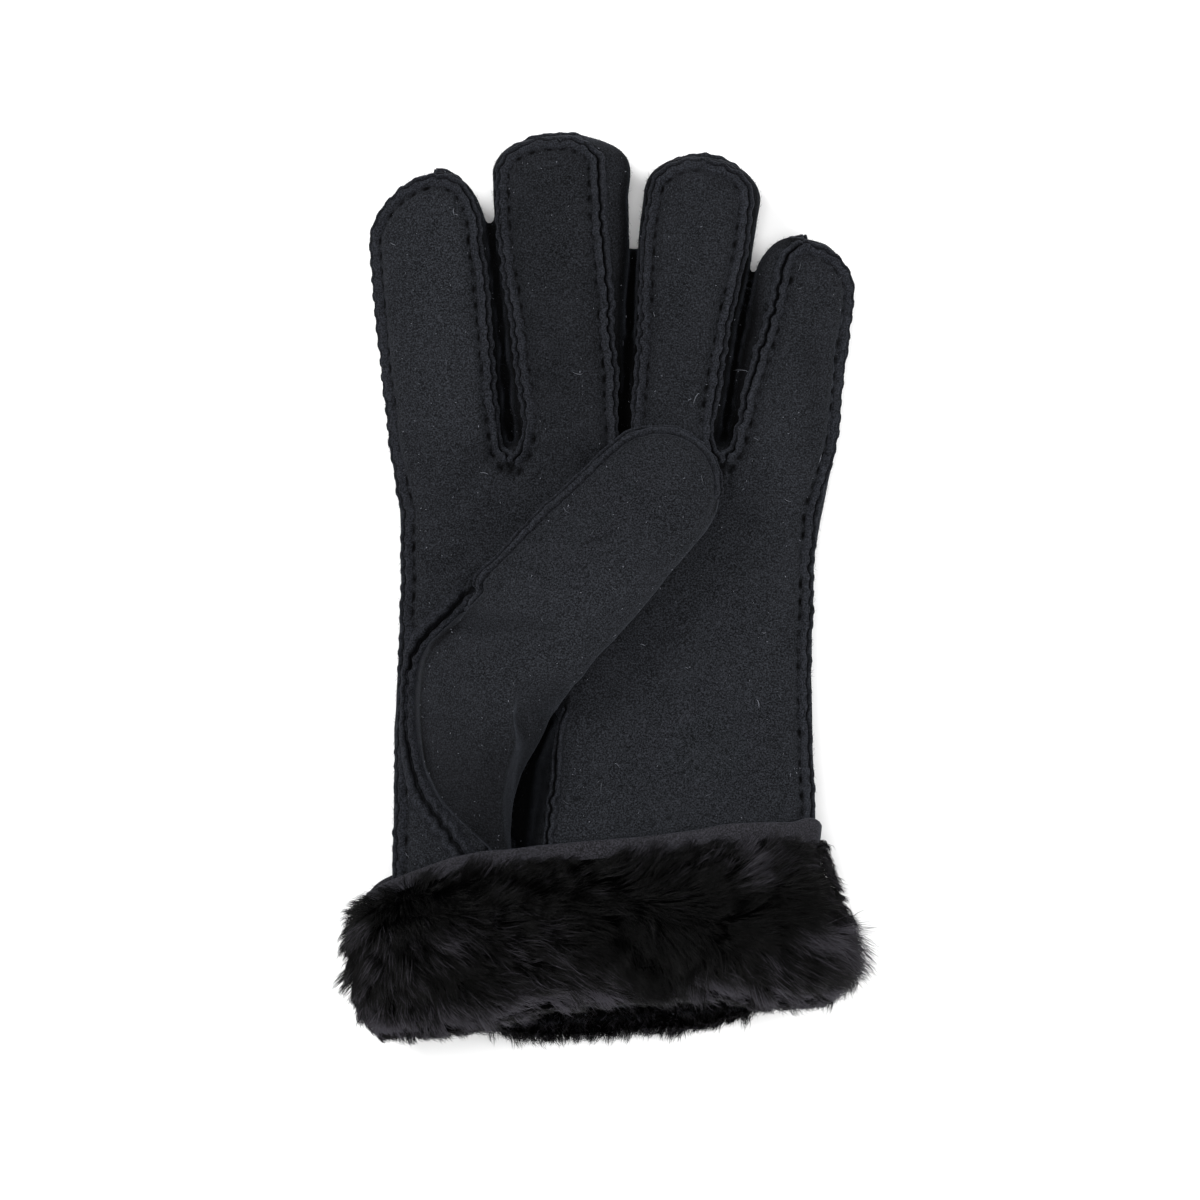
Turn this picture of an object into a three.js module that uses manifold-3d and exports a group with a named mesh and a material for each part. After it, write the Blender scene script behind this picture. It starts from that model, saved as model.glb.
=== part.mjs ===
// A sheepskin glove for the left hand, lying palm up with its thumb folded over the palm.
// The suede side is out and the wool side in. A palm panel and a back panel are joined at the
// outer sides and the fingertips, three forks make the walls between the fingers, the thumb is
// set into a leaf-shaped hole in the palm, and the cuff is turned up so that its wool shows.
// Millimetres. +X runs towards the little finger, +Y towards the fingertips, +Z up from the floor.
import * as THREE from "three";
import { mergeVertices } from "three/addons/utils/BufferGeometryUtils.js";
import Module from "manifold-3d";

const wasm = await Module();
wasm.setup();

// The skin and its seams
const wallThickness = 4; // hide with its clipped wool
const hideThickness = 1.5; // bare hide of the turned-up cuff
const seamGap = 0.3;
const weltWidth = 2.6; // both raised edges of a seam
const weltHeight = 1.7;
const weltRoot = 1.4; // how deep a welt is rooted in the wall
const weltTuck = 0.8; // share of the cuff's height where a side welt ends, inside the cuff
const floorPress = 1.2; // how far the soft underside is pressed flat

// The palm, from the fold of the cuff to the web between the fingers
const palmLength = 153;
const palmWidth = 108;
const palmThickness = 25;
const webLevel = 39; // Y of the web
const knuckleShift = 2.6; // X of the middle of the four finger roots
const fingerSpread = 3.5; // X of the middle of the fingers at the spread level
const spreadLevel = 50; // height above the web where the finger widths are measured
const rootGap = 0.8; // between neighbours at the web
const fingerSink = 26; // how far a finger tube reaches down into the palm
const sunkSize = 0.7; // share of its root's size that is left at its sunk end
const tipLift = 3.5; // how far a fingertip curls up

// gap is the clear space to the next finger at the spread level,
// and point is how pointed the tip is: 1 is about a half circle, and less is blunter.
const fingers = [
  { name: "index", length: 73, rootWidth: 30.7, width: 30.8, thickness: 24, gap: 0.6, point: 1.15 },
  { name: "middle", length: 82.5, rootWidth: 29, width: 35.6, thickness: 25, gap: 2.6, point: 0.6 },
  { name: "ring", length: 76.5, rootWidth: 26.5, width: 30.2, thickness: 24, gap: 1, point: 0.75 },
  { name: "little", length: 55.5, rootWidth: 28.2, width: 26.4, thickness: 22.5, gap: 0, point: 0.9 },
];

// Shares along a finger from its root to its tip: spread 0 takes the root width and 1 the full
// width, size scales both width and thickness, and lift is the share of the tip's lift.
const fingerForm = [
  { along: 0, spread: 0, size: 1, lift: 0 },
  { along: 0.35, spread: 0.45, size: 1, lift: 0 },
  { along: 0.64, spread: 1, size: 1, lift: 0.1 },
  { along: 0.79, spread: 1, size: 0.98, lift: 0.35 },
  { along: 0.89, spread: 1, size: 0.86, lift: 0.65 },
  { along: 0.955, spread: 1, size: 0.66, lift: 0.85 },
  { along: 0.99, spread: 1, size: 0.42, lift: 0.96 },
  { along: 1, spread: 1, size: 0.2, lift: 1 },
];

// A fork is the side wall between two fingers. Its seams run at these shares of the half width
// of the finger on its left and on its right, from the web to the tip.
const forks = [
  { name: "fourchette_index_middle", depth: 6, leftWeb: 0.8, leftTip: 0.76, rightWeb: 0.72, rightTip: 0.9 },
  { name: "fourchette_middle_ring", depth: 5, leftWeb: 0.86, leftTip: 0.58, rightWeb: 0.78, rightTip: 0.86 },
  { name: "fourchette_ring_little", depth: 6.5, leftWeb: 0.7, leftTip: 0.84, rightWeb: 0.72, rightTip: 0.36 },
];
// blend runs from the web's share to the tip's, and close brings a finger's two seams together
const seamForm = [
  { along: 0.06, blend: 0, close: 1 },
  { along: 0.4, blend: 0.45, close: 1 },
  { along: 0.75, blend: 1, close: 1 },
  { along: 0.92, blend: 1, close: 0.98 },
  { along: 0.985, blend: 1, close: 0.8 },
];

// The palm as shares: at runs from the fold to the web, own and knuckle weigh the palm's width
// against that of the four finger roots, height scales the thickness, lift is the share of the
// cuff's lift, and turn is the share of the cuff's turn.
const palmForm = [
  { at: 0, own: 1.01, knuckle: 0, height: 1, lift: 1, turn: 1 },
  { at: 0.34, own: 1.01, knuckle: 0, height: 1, lift: 0.6, turn: 1 },
  { at: 0.42, own: 1.005, knuckle: 0, height: 1, lift: 0.25, turn: 0.5 },
  { at: 0.5, own: 1, knuckle: 0, height: 1, lift: 0.04, turn: 0 },
  { at: 0.64, own: 0.985, knuckle: 0, height: 1, lift: 0, turn: 0 },
  { at: 0.78, own: 0.69, knuckle: 0.28, height: 1, lift: 0, turn: 0 },
  { at: 0.9, own: 0.3, knuckle: 0.67, height: 0.98, lift: 0, turn: 0 },
  { at: 0.955, own: 0.15, knuckle: 0.8, height: 0.84, lift: 0, turn: 0 },
  { at: 0.985, own: 0, knuckle: 0.93, height: 0.6, lift: 0, turn: 0 },
  { at: 1, own: 0, knuckle: 0.9, height: 0.3, lift: 0, turn: 0 },
];

// The thumb folds over at a line across the front of its leaf-shaped hole in the palm
const thumbWidth = 38;
const thumbThickness = 21;
const thumbRest = 0.8; // clear height between the thumb and the palm
const thumbBaseWidth = 38.5;
const thumbBaseLength = 53;
const thumbReach = 78; // from the fold line to the tip
const thumbX = -25.6; // the middle of the fold line
const thumbY = -19.4;
const thumbValley = 2.6; // how far the side towards the palm's middle is drawn in over the hole

// Sections swing round the fold line, from lying in the palm to standing across the thumb.
// sink is the share of the way down into the palm, reach that along the thumb, and width and
// depth run from the hole's size to the tube's. heading and pitch are degrees.
const thumbForm = [
  { sink: 1, reach: 0, heading: 79, pitch: 90, width: 0, depth: 0, size: 1, valley: 0 },
  { sink: 0.15, reach: 0.004, heading: 79, pitch: 90, width: 0, depth: 0, size: 1, valley: 0 },
  { sink: 0, reach: 0.012, heading: 77, pitch: 79, width: 0, depth: 0.08, size: 1, valley: 0.5 },
  { sink: 0, reach: 0.025, heading: 71, pitch: 67, width: 0.1, depth: 0.38, size: 1, valley: 0.9 },
  { sink: 0, reach: 0.045, heading: 62, pitch: 50, width: 0.4, depth: 0.72, size: 1, valley: 1 },
  { sink: 0, reach: 0.075, heading: 54, pitch: 26, width: 0.8, depth: 0.93, size: 1.01, valley: 0.5 },
  { sink: 0, reach: 0.13, heading: 47, pitch: 0, width: 1, depth: 1, size: 1.02, valley: 0 },
  { sink: 0, reach: 0.45, heading: 47, pitch: 0, width: 1, depth: 1, size: 0.98, valley: 0 },
  { sink: 0, reach: 0.76, heading: 47, pitch: 0, width: 1, depth: 1, size: 0.88, valley: 0 },
  { sink: 0, reach: 0.88, heading: 47, pitch: 0, width: 1, depth: 1, size: 0.76, valley: 0 },
  { sink: 0, reach: 0.955, heading: 47, pitch: 0, width: 1, depth: 1, size: 0.57, valley: 0 },
  { sink: 0, reach: 0.99, heading: 47, pitch: 0, width: 1, depth: 1, size: 0.36, valley: 0 },
  { sink: 0, reach: 1, heading: 47, pitch: 0, width: 1, depth: 1, size: 0.15, valley: 0 },
];

// The turned-up cuff
const cuffHeight = 47;
const cuffTurn = 4.5; // degrees
const cuffLift = 5; // the wrist is held up by the wool under it
const cuffFlare = 3; // how far the cuff's edge stands off the glove
const flareUnder = 0.1; // share of the flare that is left under the glove
const cuffDroop = 0.2; // share of its height that the cuff loses at the thumb side
const bandShow = 6.5; // bare band above the wool
const woolPile = 9; // depth of the wool mass, without its locks
const woolUnder = 4.4; // the same where the glove lies on it
const woolLip = 5; // wool below the fold
const mouthWool = 2.4; // wool inside the mouth
const mouthReach = 16;

// The wool's section: pile is the share of the way out from the band to the wool's face, and
// height the share of the wool's height above the fold. Rows below the fold count in lips.
const woolFace = [
  { pile: 0.12, height: 1, lip: 0 },
  { pile: 0.55, height: 0.96, lip: 0 },
  { pile: 0.9, height: 0.72, lip: 0 },
  { pile: 1, height: 0.42, lip: 0 },
  { pile: 0.8, height: 0.12, lip: 0 },
  { pile: 0.35, height: 0, lip: 0.7 },
];

// Locks of wool, fused to the wool's face in staggered rows
const lockRows = [
  { pile: 0.75, height: 0.8, sweep: 0.8, down: -0.1 },
  { pile: 0.85, height: 0.45, sweep: -0.6, down: 0.3 },
  { pile: 0.6, height: 0.14, sweep: 0.5, down: 0.4 },
];
const locksPerRow = 12;
const lockLength = 10;
const lockWidth = 25; // at its root, round the cuff
const lockHeight = 18; // at its root, along the glove
const lockRoot = 0.4; // share of the pile that a lock is rooted in
const lockBend = 0.6;
const lockSides = 5;
const lockForm = [
  { way: 0, size: 1 },
  { way: 0.6, size: 0.82 },
  { way: 0.95, size: 0.36 },
];

// Section shape and fineness
const fingerPower = 2.25; // 2 is an ellipse, and more is squarer
const palmPower = 2.6;
const tubeSides = 16;
const hollowSides = 8;
const palmSides = 24;
const farOut = 200; // larger than the glove, for cutting blocks
const nearby = 0.02; // a small step along a surface, for its directions

const suede = new THREE.MeshStandardMaterial({ color: 0x23262c, roughness: 0.95, metalness: 0 });
const hide = new THREE.MeshStandardMaterial({ color: 0x2b2e35, roughness: 0.9, metalness: 0 });
const wool = new THREE.MeshStandardMaterial({ color: 0x0c0d11, roughness: 1, metalness: 0 });

const mix = (a, b, share) => a + (b - a) * share;
const sum = (values) => values.reduce((total, value) => total + value, 0);

// Rows of numbers, read at any share between two of them
function readTable(rows, key, at) {
  const next = rows.findIndex((row) => row[key] >= at);
  const upper = rows[next < 0 ? rows.length - 1 : Math.max(next, 1)];
  const lower = rows[rows.indexOf(upper) - 1];
  const share = (at - lower[key]) / (upper[key] - lower[key]);
  return Object.fromEntries(Object.keys(upper).map((name) => [name, mix(lower[name], upper[name], share)]));
}

// A section is a squared ellipse. Its plane faces along heading and pitch, half reaches sideways,
// rise up and drop down from the centre.
function section(centre, heading, pitch, half, rise, drop = rise) {
  const turn = THREE.MathUtils.degToRad(heading);
  const tilt = THREE.MathUtils.degToRad(pitch);
  const across = new THREE.Vector3(Math.sin(turn), -Math.cos(turn), 0);
  const up = new THREE.Vector3(-Math.cos(turn) * Math.sin(tilt), -Math.sin(turn) * Math.sin(tilt), Math.cos(tilt));
  return { centre, across, up, half, rise, drop };
}

function sectionPoint(place, angle, power) {
  const c = Math.cos(angle);
  const s = Math.sin(angle);
  const sideways = place.half * Math.sign(c) * Math.abs(c) ** (2 / power);
  const upwards = (s > 0 ? place.rise : place.drop) * Math.sign(s) * Math.abs(s) ** (2 / power);
  return place.centre.clone().addScaledVector(place.across, sideways).addScaledVector(place.up, upwards);
}

// A closed body through rings of points. Its ends are capped, or the last ring meets the first.
function ringBody(rings, endless = false) {
  const sides = rings[0].length;
  const points = rings.flat();
  const faces = [];
  const spans = endless ? rings.length : rings.length - 1;
  for (let j = 0; j < spans; j++) {
    for (let i = 0; i < sides; i++) {
      const a = j * sides + i;
      const b = j * sides + ((i + 1) % sides);
      const c = ((j + 1) % rings.length) * sides + i;
      const d = ((j + 1) % rings.length) * sides + ((i + 1) % sides);
      faces.push(a, c, b, b, c, d);
    }
  }
  if (!endless) {
    const last = (rings.length - 1) * sides;
    const ends = [rings[0], rings.at(-1)];
    const middles = ends.map((ring) => ring.reduce((total, p) => total.add(p), new THREE.Vector3()).divideScalar(sides));
    points.push(...middles);
    for (let i = 0; i < sides; i++) {
      const next = (i + 1) % sides;
      faces.push(points.length - 2, i, next, points.length - 1, last + next, last + i);
    }
  }
  const geometry = new THREE.BufferGeometry().setFromPoints(points);
  geometry.setIndex(faces);
  return geometry;
}

function tube(sections, sides, power) {
  const angles = Array.from({ length: sides }, (_, i) => (i / sides) * 2 * Math.PI);
  return solid(ringBody(sections.map((place) => angles.map((angle) => sectionPoint(place, angle, power)))));
}

function solid(geometry) {
  const bare = geometry.clone();
  bare.deleteAttribute("normal");
  bare.deleteAttribute("uv");
  const merged = mergeVertices(bare, 1e-4);
  const vertProperties = new Float32Array(merged.attributes.position.array);
  const triVerts = new Uint32Array(merged.index.array);
  const body = new wasm.Manifold(new wasm.Mesh({ numProp: 3, vertProperties, triVerts }));
  if (body.volume() >= 0) return body;
  // Its faces point inwards, as when a path runs the other way round, so each one is turned
  return new wasm.Manifold(new wasm.Mesh({ numProp: 3, vertProperties, triVerts: triVerts.toReversed() }));
}

function block(low, high) {
  const size = high.clone().sub(low);
  const middle = low.clone().add(high).multiplyScalar(0.5);
  return solid(new THREE.BoxGeometry(size.x, size.y, size.z).translate(middle.x, middle.y, middle.z));
}

// A flat outline in X and Y, carried straight up and down through the whole glove
function upright(outline) {
  const shape = new THREE.Shape(outline.map(([x, y]) => new THREE.Vector2(x, y)));
  const walls = new THREE.ExtrudeGeometry(shape, { depth: 2 * farOut, bevelEnabled: false });
  return solid(walls.translate(0, 0, -farOut));
}

const joined = (parts) => parts.reduce((all, part) => all.add(part));
const above = (z) => block(new THREE.Vector3(-farOut, -farOut, z), new THREE.Vector3(farOut, farOut, farOut));

// Fingers lie side by side, at their roots and again at the spread level
function sideBySide(widths, gaps, middle) {
  const total = sum(widths) + sum(gaps);
  let edge = middle - total / 2;
  return widths.map((width, i) => {
    const centre = edge + width / 2;
    edge += width + gaps[i];
    return centre;
  });
}
const rootWidths = fingers.map((finger) => finger.rootWidth);
const rootGaps = fingers.map((_, i) => (i < fingers.length - 1 ? rootGap : 0));
const rootX = sideBySide(rootWidths, rootGaps, knuckleShift);
const spreadX = sideBySide(fingers.map((f) => f.width), fingers.map((f) => f.gap), fingerSpread);
const knuckleWidth = sum(rootWidths) + sum(rootGaps);

// Where a finger is, at a share of its length, with its skin taken in by inset
function fingerPlace(k, along, inset = 0) {
  const finger = fingers[k];
  const row = readTable(fingerForm, "along", Math.min(along, 1));
  const lean = Math.atan2(spreadX[k] - rootX[k], spreadLevel);
  const reach = along * (finger.length - inset);
  const size = row.size ** finger.point;
  const half = mix(finger.rootWidth, finger.width, Math.max(row.spread, 0)) / 2 - inset;
  const depth = finger.thickness / 2 - inset;
  const centre = new THREE.Vector3(
    rootX[k] + Math.sin(lean) * reach,
    webLevel + Math.cos(lean) * reach,
    finger.thickness / 2 - floorPress + Math.max(row.lift, 0) * tipLift,
  );
  return section(centre, 90 - THREE.MathUtils.radToDeg(lean), 0, half * size, depth * size);
}

// A hollow needs only every other row
const tubeRows = (rows, inset) => rows.filter((_, i) => inset <= 0 || i % 2 === 1);

// A finger tube starts smaller, sunk in the palm
function fingerTube(k, inset, sides) {
  const sunk = fingerPlace(k, 0, inset);
  sunk.centre.y -= fingerSink;
  for (const reach of ["half", "rise", "drop"]) sunk[reach] *= sunkSize;
  const places = tubeRows(fingerForm, inset).map((row) => fingerPlace(k, row.along, inset));
  return tube([sunk, ...places], sides, fingerPower);
}

function palmPlace(at, inset = 0) {
  const row = readTable(palmForm, "at", at);
  const half = (palmWidth * row.own + knuckleWidth * row.knuckle) / 2 - inset;
  const depth = (palmThickness * row.height) / 2 - inset;
  const foldLevel = webLevel - palmLength;
  const centre = new THREE.Vector3(
    mix(0, knuckleShift, Math.max(0, (at - 0.5) * 2)),
    foldLevel + at * (palmLength - Math.max(inset, 0)),
    palmThickness / 2 - floorPress + row.lift * (cuffLift + floorPress),
  );
  return section(centre, 90 + row.turn * cuffTurn, 0, half, depth);
}

// The hollow runs on past the fold, so that the mouth is open
function palmTube(inset, sides, start) {
  const shares = [start, ...palmForm.slice(1).map((row) => row.at)];
  return tube(shares.map((at) => palmPlace(at, inset)), sides, palmPower);
}

function thumbTube(inset, sides) {
  const foldHeight = palmThickness - floorPress + thumbRest;
  const fold = new THREE.Vector3(thumbX, thumbY, 0);
  let reached = 0;
  const places = thumbForm.map((row) => {
    const turn = THREE.MathUtils.degToRad(row.heading);
    const step = (row.reach - reached) * (thumbReach - Math.max(inset, 0));
    fold.add(new THREE.Vector3(Math.cos(turn), Math.sin(turn), 0).multiplyScalar(step));
    reached = row.reach;
    const half = mix(thumbBaseWidth, thumbWidth, row.width) / 2 - row.valley * thumbValley;
    const depth = mix(thumbBaseLength, thumbThickness, row.depth) / 2;
    fold.z = mix(foldHeight, palmThickness / 2, row.sink);
    const place = section(fold.clone(), row.heading, row.pitch, (half - inset) * row.size, (depth - inset) * row.size);
    place.centre.addScaledVector(place.up, depth).addScaledVector(place.across, -row.valley * thumbValley);
    return place;
  });
  return tube(places, sides, fingerPower);
}

// A welt is the pair of raised edges of a seam: a bar along a path of points, standing on the
// skin along out, as wide as both edges. side lies in the skin, across the seam.
function welt(path) {
  const corner = (stop, sideways, outwards) =>
    stop.point.clone().addScaledVector(stop.side, sideways).addScaledVector(stop.out, outwards);
  const half = weltWidth / 2;
  const rings = path.map((stop) => [
    corner(stop, -half, -weltRoot),
    corner(stop, half, -weltRoot),
    corner(stop, half, weltHeight),
    corner(stop, -half, weltHeight),
  ]);
  return solid(ringBody(rings));
}

// A seam point on a finger, at a share of its half width, on its palm face (1) or back face (-1)
function seamStop(k, along, share, face) {
  const turn = Math.acos(Math.sign(share) * Math.abs(share) ** (fingerPower / 2)) * face;
  const at = (reach, angle) => sectionPoint(fingerPlace(k, reach), angle, fingerPower);
  const place = fingerPlace(k, along);
  const point = at(along, turn);
  const side = at(along, turn + nearby).sub(point).normalize();
  const out = side.clone().cross(at(along, turn).sub(at(along - nearby, turn))).normalize();
  if (out.dot(point.clone().sub(place.centre)) < 0) out.negate();
  return { point, side, out, across: place.across };
}

// The seam of a fork on the finger to one side of it: side is 1 on its left finger, -1 on its right
function forkSeam(fork, k, side, face) {
  const web = side > 0 ? fork.leftWeb : fork.rightWeb;
  const tip = side > 0 ? fork.leftTip : fork.rightTip;
  return seamForm.map((row) => seamStop(k, row.along, side * mix(web, tip, row.blend) * row.close, face));
}

function forkBottom(fork, k) {
  const left = fingerPlace(k, 0);
  const right = fingerPlace(k + 1, 0);
  const x = (left.centre.x + left.half + right.centre.x - right.half) / 2;
  return new THREE.Vector2(x, webLevel - fork.depth);
}

// The ground plan of a fork: everything between its two seams, up past the fingertips
function forkBlock(fork, k, grow) {
  const bottom = forkBottom(fork, k);
  const left = forkSeam(fork, k, 1, 1).map(({ point, across }) => point.addScaledVector(across, -grow));
  const right = forkSeam(fork, k + 1, -1, 1).map(({ point, across }) => point.addScaledVector(across, grow));
  const over = webLevel + Math.max(fingers[k].length, fingers[k + 1].length) + farOut / 10;
  return upright([
    [bottom.x, bottom.y - 2 * grow],
    ...right.map((p) => [p.x, p.y]),
    [right.at(-1).x, over],
    [left.at(-1).x, over],
    ...left.toReversed().map((p) => [p.x, p.y]),
  ]);
}

function forkWelts(fork, k) {
  const bottom = forkBottom(fork, k);
  return [1, -1].flatMap((face) =>
    [[k, 1], [k + 1, -1]].map(([finger, side]) => {
      const stops = forkSeam(fork, finger, side, face);
      const foot = new THREE.Vector3(bottom.x, bottom.y, stops[0].point.z);
      const start = { point: foot, side: stops[0].side, out: stops[0].out };
      return welt([start, ...stops]);
    }),
  );
}

// The welt of an outer side, where the palm and back panels meet, from the fingertip to the cuff
function sideWelt(k, side) {
  const stop = (place) => ({
    point: place.centre.clone().addScaledVector(place.across, side * place.half),
    side: new THREE.Vector3(0, 0, side),
    out: place.across.clone().multiplyScalar(side),
  });
  const up = [0.955, 0.89, 0.79, 0.64, 0.35, 0].map((along) => stop(fingerPlace(k, along)));
  const edge = (cuffHeight * (side < 0 ? 1 - cuffDroop : 1)) / palmLength;
  const down = [0.78, 0.64, 0.5, 0.42, 0.34, edge * weltTuck].map((at) => stop(palmPlace(at)));
  return welt([...up, ...down]);
}

// The palm and back panels meet half way up, so the cut follows the middle of the glove
function panelBlock(face) {
  const levels = palmForm.map((row) => palmPlace(row.at).centre).map(({ y, z }) => [y, z]);
  const tips = fingerPlace(1, 1).centre;
  const wrist = palmPlace(0).centre;
  const line = [[wrist.y - farOut, wrist.z], ...levels, [tips.y + farOut, tips.z]];
  const edge = line.map(([y, z]) => new THREE.Vector2(y, z + (face * seamGap) / 2));
  const shape = new THREE.Shape([
    ...edge,
    new THREE.Vector2(edge.at(-1).x, face * farOut),
    new THREE.Vector2(edge[0].x, face * farOut),
  ]);
  const wide = new THREE.ExtrudeGeometry(shape, { depth: 2 * farOut, bevelEnabled: false });
  wide.translate(0, 0, -farOut);
  // The outline was drawn in Y and Z, so its X, Y, Z become the glove's Y, Z, X
  wide.applyMatrix4(new THREE.Matrix4().set(0, 0, 1, 0, 1, 0, 0, 0, 0, 1, 0, 0, 0, 0, 0, 1));
  return solid(wide);
}

// A point round the wrist, at a height above the fold: stand is measured off the glove's face,
// and pile is wool on top of that, pressed flatter under the glove
function cuffPoint(angle, height, stand, pile = 0) {
  const droop = height > 0 ? 1 - cuffDroop * Math.max(0, -Math.cos(angle)) ** 3 : 1;
  const place = palmPlace((height * droop) / palmLength);
  const flare = cuffFlare * Math.max(0, height / cuffHeight);
  place.half += stand + flare + pile;
  place.rise += stand + flare + pile;
  place.drop += stand + flare * flareUnder + pile * (woolUnder / woolPile);
  return sectionPoint(place, angle, palmPower);
}

const roundPalm = Array.from({ length: palmSides }, (_, i) => (i / palmSides) * 2 * Math.PI);
const cuffRing = (height, stand, pile) => roundPalm.map((angle) => cuffPoint(angle, height, stand, pile));

// A ring inside the mouth, at a depth in from the glove's face
function mouthRing(height, depth) {
  const place = palmPlace(height / palmLength, depth);
  return roundPalm.map((angle) => sectionPoint(place, angle, palmPower));
}

const bandStand = seamGap + hideThickness;
const woolStand = bandStand + seamGap;
const woolHeight = cuffHeight - bandShow;

function makeBand() {
  return solid(
    ringBody(
      [
        cuffRing(seamGap, seamGap),
        cuffRing(seamGap, bandStand),
        cuffRing(cuffHeight, bandStand),
        cuffRing(cuffHeight, seamGap),
      ],
      true,
    ),
  );
}

function makeWoolMass() {
  const lining = wallThickness + seamGap;
  const face = woolFace.map((row) =>
    cuffRing(row.height * woolHeight - row.lip * woolLip, woolStand, row.pile * woolPile),
  );
  return solid(
    ringBody(
      [
        cuffRing(woolHeight, woolStand),
        ...face,
        mouthRing(-woolLip, 0),
        mouthRing(-woolLip * 0.8, lining * 0.8),
        mouthRing(0, lining + mouthWool),
        mouthRing(mouthReach * 0.6, lining + mouthWool),
        mouthRing(mouthReach, lining),
        mouthRing(-seamGap, lining),
        cuffRing(-seamGap, woolStand),
      ],
      true,
    ),
  );
}

// A lock is a bent, tapering tuft that leans sideways and down from the wool's face
function makeLock(row, turn) {
  const pointAt = (angle, pile) => cuffPoint(angle, row.height * woolHeight, woolStand, pile * woolPile);
  const root = pointAt(turn, row.pile - lockRoot);
  const out = pointAt(turn, row.pile + lockRoot).sub(root).normalize();
  const along = pointAt(turn + nearby, row.pile).sub(pointAt(turn - nearby, row.pile)).normalize();
  const other = out.clone().cross(along);
  const lean = along.clone().multiplyScalar(row.sweep).add(new THREE.Vector3(0, -row.down, 0));
  const rings = lockForm.map(({ way, size }) => {
    const middle = root.clone().addScaledVector(out, way * lockLength);
    middle.addScaledVector(lean, way * way * lockLength * lockBend);
    return Array.from({ length: lockSides }, (_, i) => {
      const spin = (i / lockSides) * 2 * Math.PI;
      return middle
        .clone()
        .addScaledVector(along, (Math.cos(spin) * size * lockWidth) / 2)
        .addScaledVector(other, (Math.sin(spin) * size * lockHeight) / 2);
    });
  });
  return solid(ringBody(rings));
}

function makeLocks() {
  const locks = lockRows.flatMap((row, j) =>
    Array.from({ length: locksPerRow }, (_, i) => makeLock(row, ((i + (j % 2) / 2) / locksPerRow) * 2 * Math.PI)),
  );
  const bandRoom = [-cuffHeight, 0, cuffHeight].map((height) => cuffRing(height, woolStand));
  return joined(locks).subtract(solid(ringBody(bandRoom)));
}

// The sewn glove in one: its outer form with the welts, and the hollow inside it
const outer = joined([palmTube(0, palmSides, 0), ...fingers.map((_, k) => fingerTube(k, 0, tubeSides))]);
const hollow = joined([
  palmTube(wallThickness, palmSides, -0.1),
  ...fingers.map((_, k) => fingerTube(k, wallThickness, hollowSides)),
]).intersect(above(wallThickness));
const welts = joined([
  ...forks.flatMap(forkWelts),
  sideWelt(0, -1),
  sideWelt(fingers.length - 1, 1),
]);
const shell = outer.add(welts).intersect(above(0)).subtract(hollow);

// The thumb takes its own hole out of the palm panel, with a seam's gap round it
const thumbHole = thumbTube(-seamGap, tubeSides);
const thumb = thumbTube(0, tubeSides)
  .subtract(thumbTube(wallThickness, hollowSides))
  .subtract(hollow)
  .intersect(panelBlock(1));

const grownForks = joined(forks.map((fork, k) => forkBlock(fork, k, seamGap)));
const panels = shell.subtract(grownForks);
const woolAll = makeWoolMass().add(makeLocks()).intersect(above(0));

const largest = (body) => body.decompose().sort((a, b) => b.volume() - a.volume())[0];

const glove = new THREE.Group();
function addPiece(name, body, material) {
  const whole = largest(body);
  const { vertProperties, triVerts } = whole.getMesh();
  const geometry = new THREE.BufferGeometry();
  geometry.setAttribute("position", new THREE.BufferAttribute(vertProperties, 3));
  geometry.setIndex(new THREE.BufferAttribute(triVerts, 1));
  geometry.computeVertexNormals();
  const mesh = new THREE.Mesh(geometry, material);
  mesh.name = name;
  glove.add(mesh);
}

addPiece("palm_panel", panels.intersect(panelBlock(1)).subtract(thumbHole), suede);
addPiece("back_panel", panels.intersect(panelBlock(-1)), suede);
forks.forEach((fork, k) => addPiece(fork.name, shell.intersect(forkBlock(fork, k, 0)), suede));
addPiece("thumb", thumb, suede);
addPiece("cuff_band", makeBand(), hide);
addPiece("cuff_wool", woolAll, wool);

export default glove;
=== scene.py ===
import bpy
import numpy as np
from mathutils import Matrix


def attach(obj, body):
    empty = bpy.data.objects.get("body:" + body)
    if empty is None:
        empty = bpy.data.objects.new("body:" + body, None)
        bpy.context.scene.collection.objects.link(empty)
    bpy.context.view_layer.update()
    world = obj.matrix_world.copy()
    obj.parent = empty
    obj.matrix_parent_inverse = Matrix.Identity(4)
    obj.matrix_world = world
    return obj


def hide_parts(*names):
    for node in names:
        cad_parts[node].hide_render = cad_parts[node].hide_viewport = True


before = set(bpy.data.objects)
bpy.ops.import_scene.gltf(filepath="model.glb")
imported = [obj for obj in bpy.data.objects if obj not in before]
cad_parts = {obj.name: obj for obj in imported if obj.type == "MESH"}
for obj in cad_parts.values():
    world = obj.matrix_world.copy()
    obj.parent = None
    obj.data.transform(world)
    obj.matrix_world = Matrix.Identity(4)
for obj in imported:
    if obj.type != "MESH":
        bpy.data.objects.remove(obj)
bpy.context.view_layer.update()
print("frame loaded")

# Shapes are worked out in millimetres and become metres in addPiece
millimetre = 0.001
seed = 11


def linear(colour):
    # sRGB hex to linear: c / 12.92 up to 0.04045, and ((c + 0.055) / 1.055) ^ 2.4 above
    parts = [int(colour[i:i + 2], 16) / 255 for i in (1, 3, 5)]
    return tuple(c / 12.92 if c <= 0.04045 else ((c + 0.055) / 1.055) ** 2.4 for c in parts) + (1.0,)


def addNode(material, kind, inputs=(), **settings):
    # a socket among the inputs is linked, and any other value is set on the node's own socket
    node = material.node_tree.nodes.new(kind)
    for name, value in settings.items():
        setattr(node, name, value)
    for name, value in dict(inputs).items():
        if isinstance(value, bpy.types.NodeSocket):
            material.node_tree.links.new(value, node.inputs[name])
        else:
            node.inputs[name].default_value = value
    return node


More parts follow.
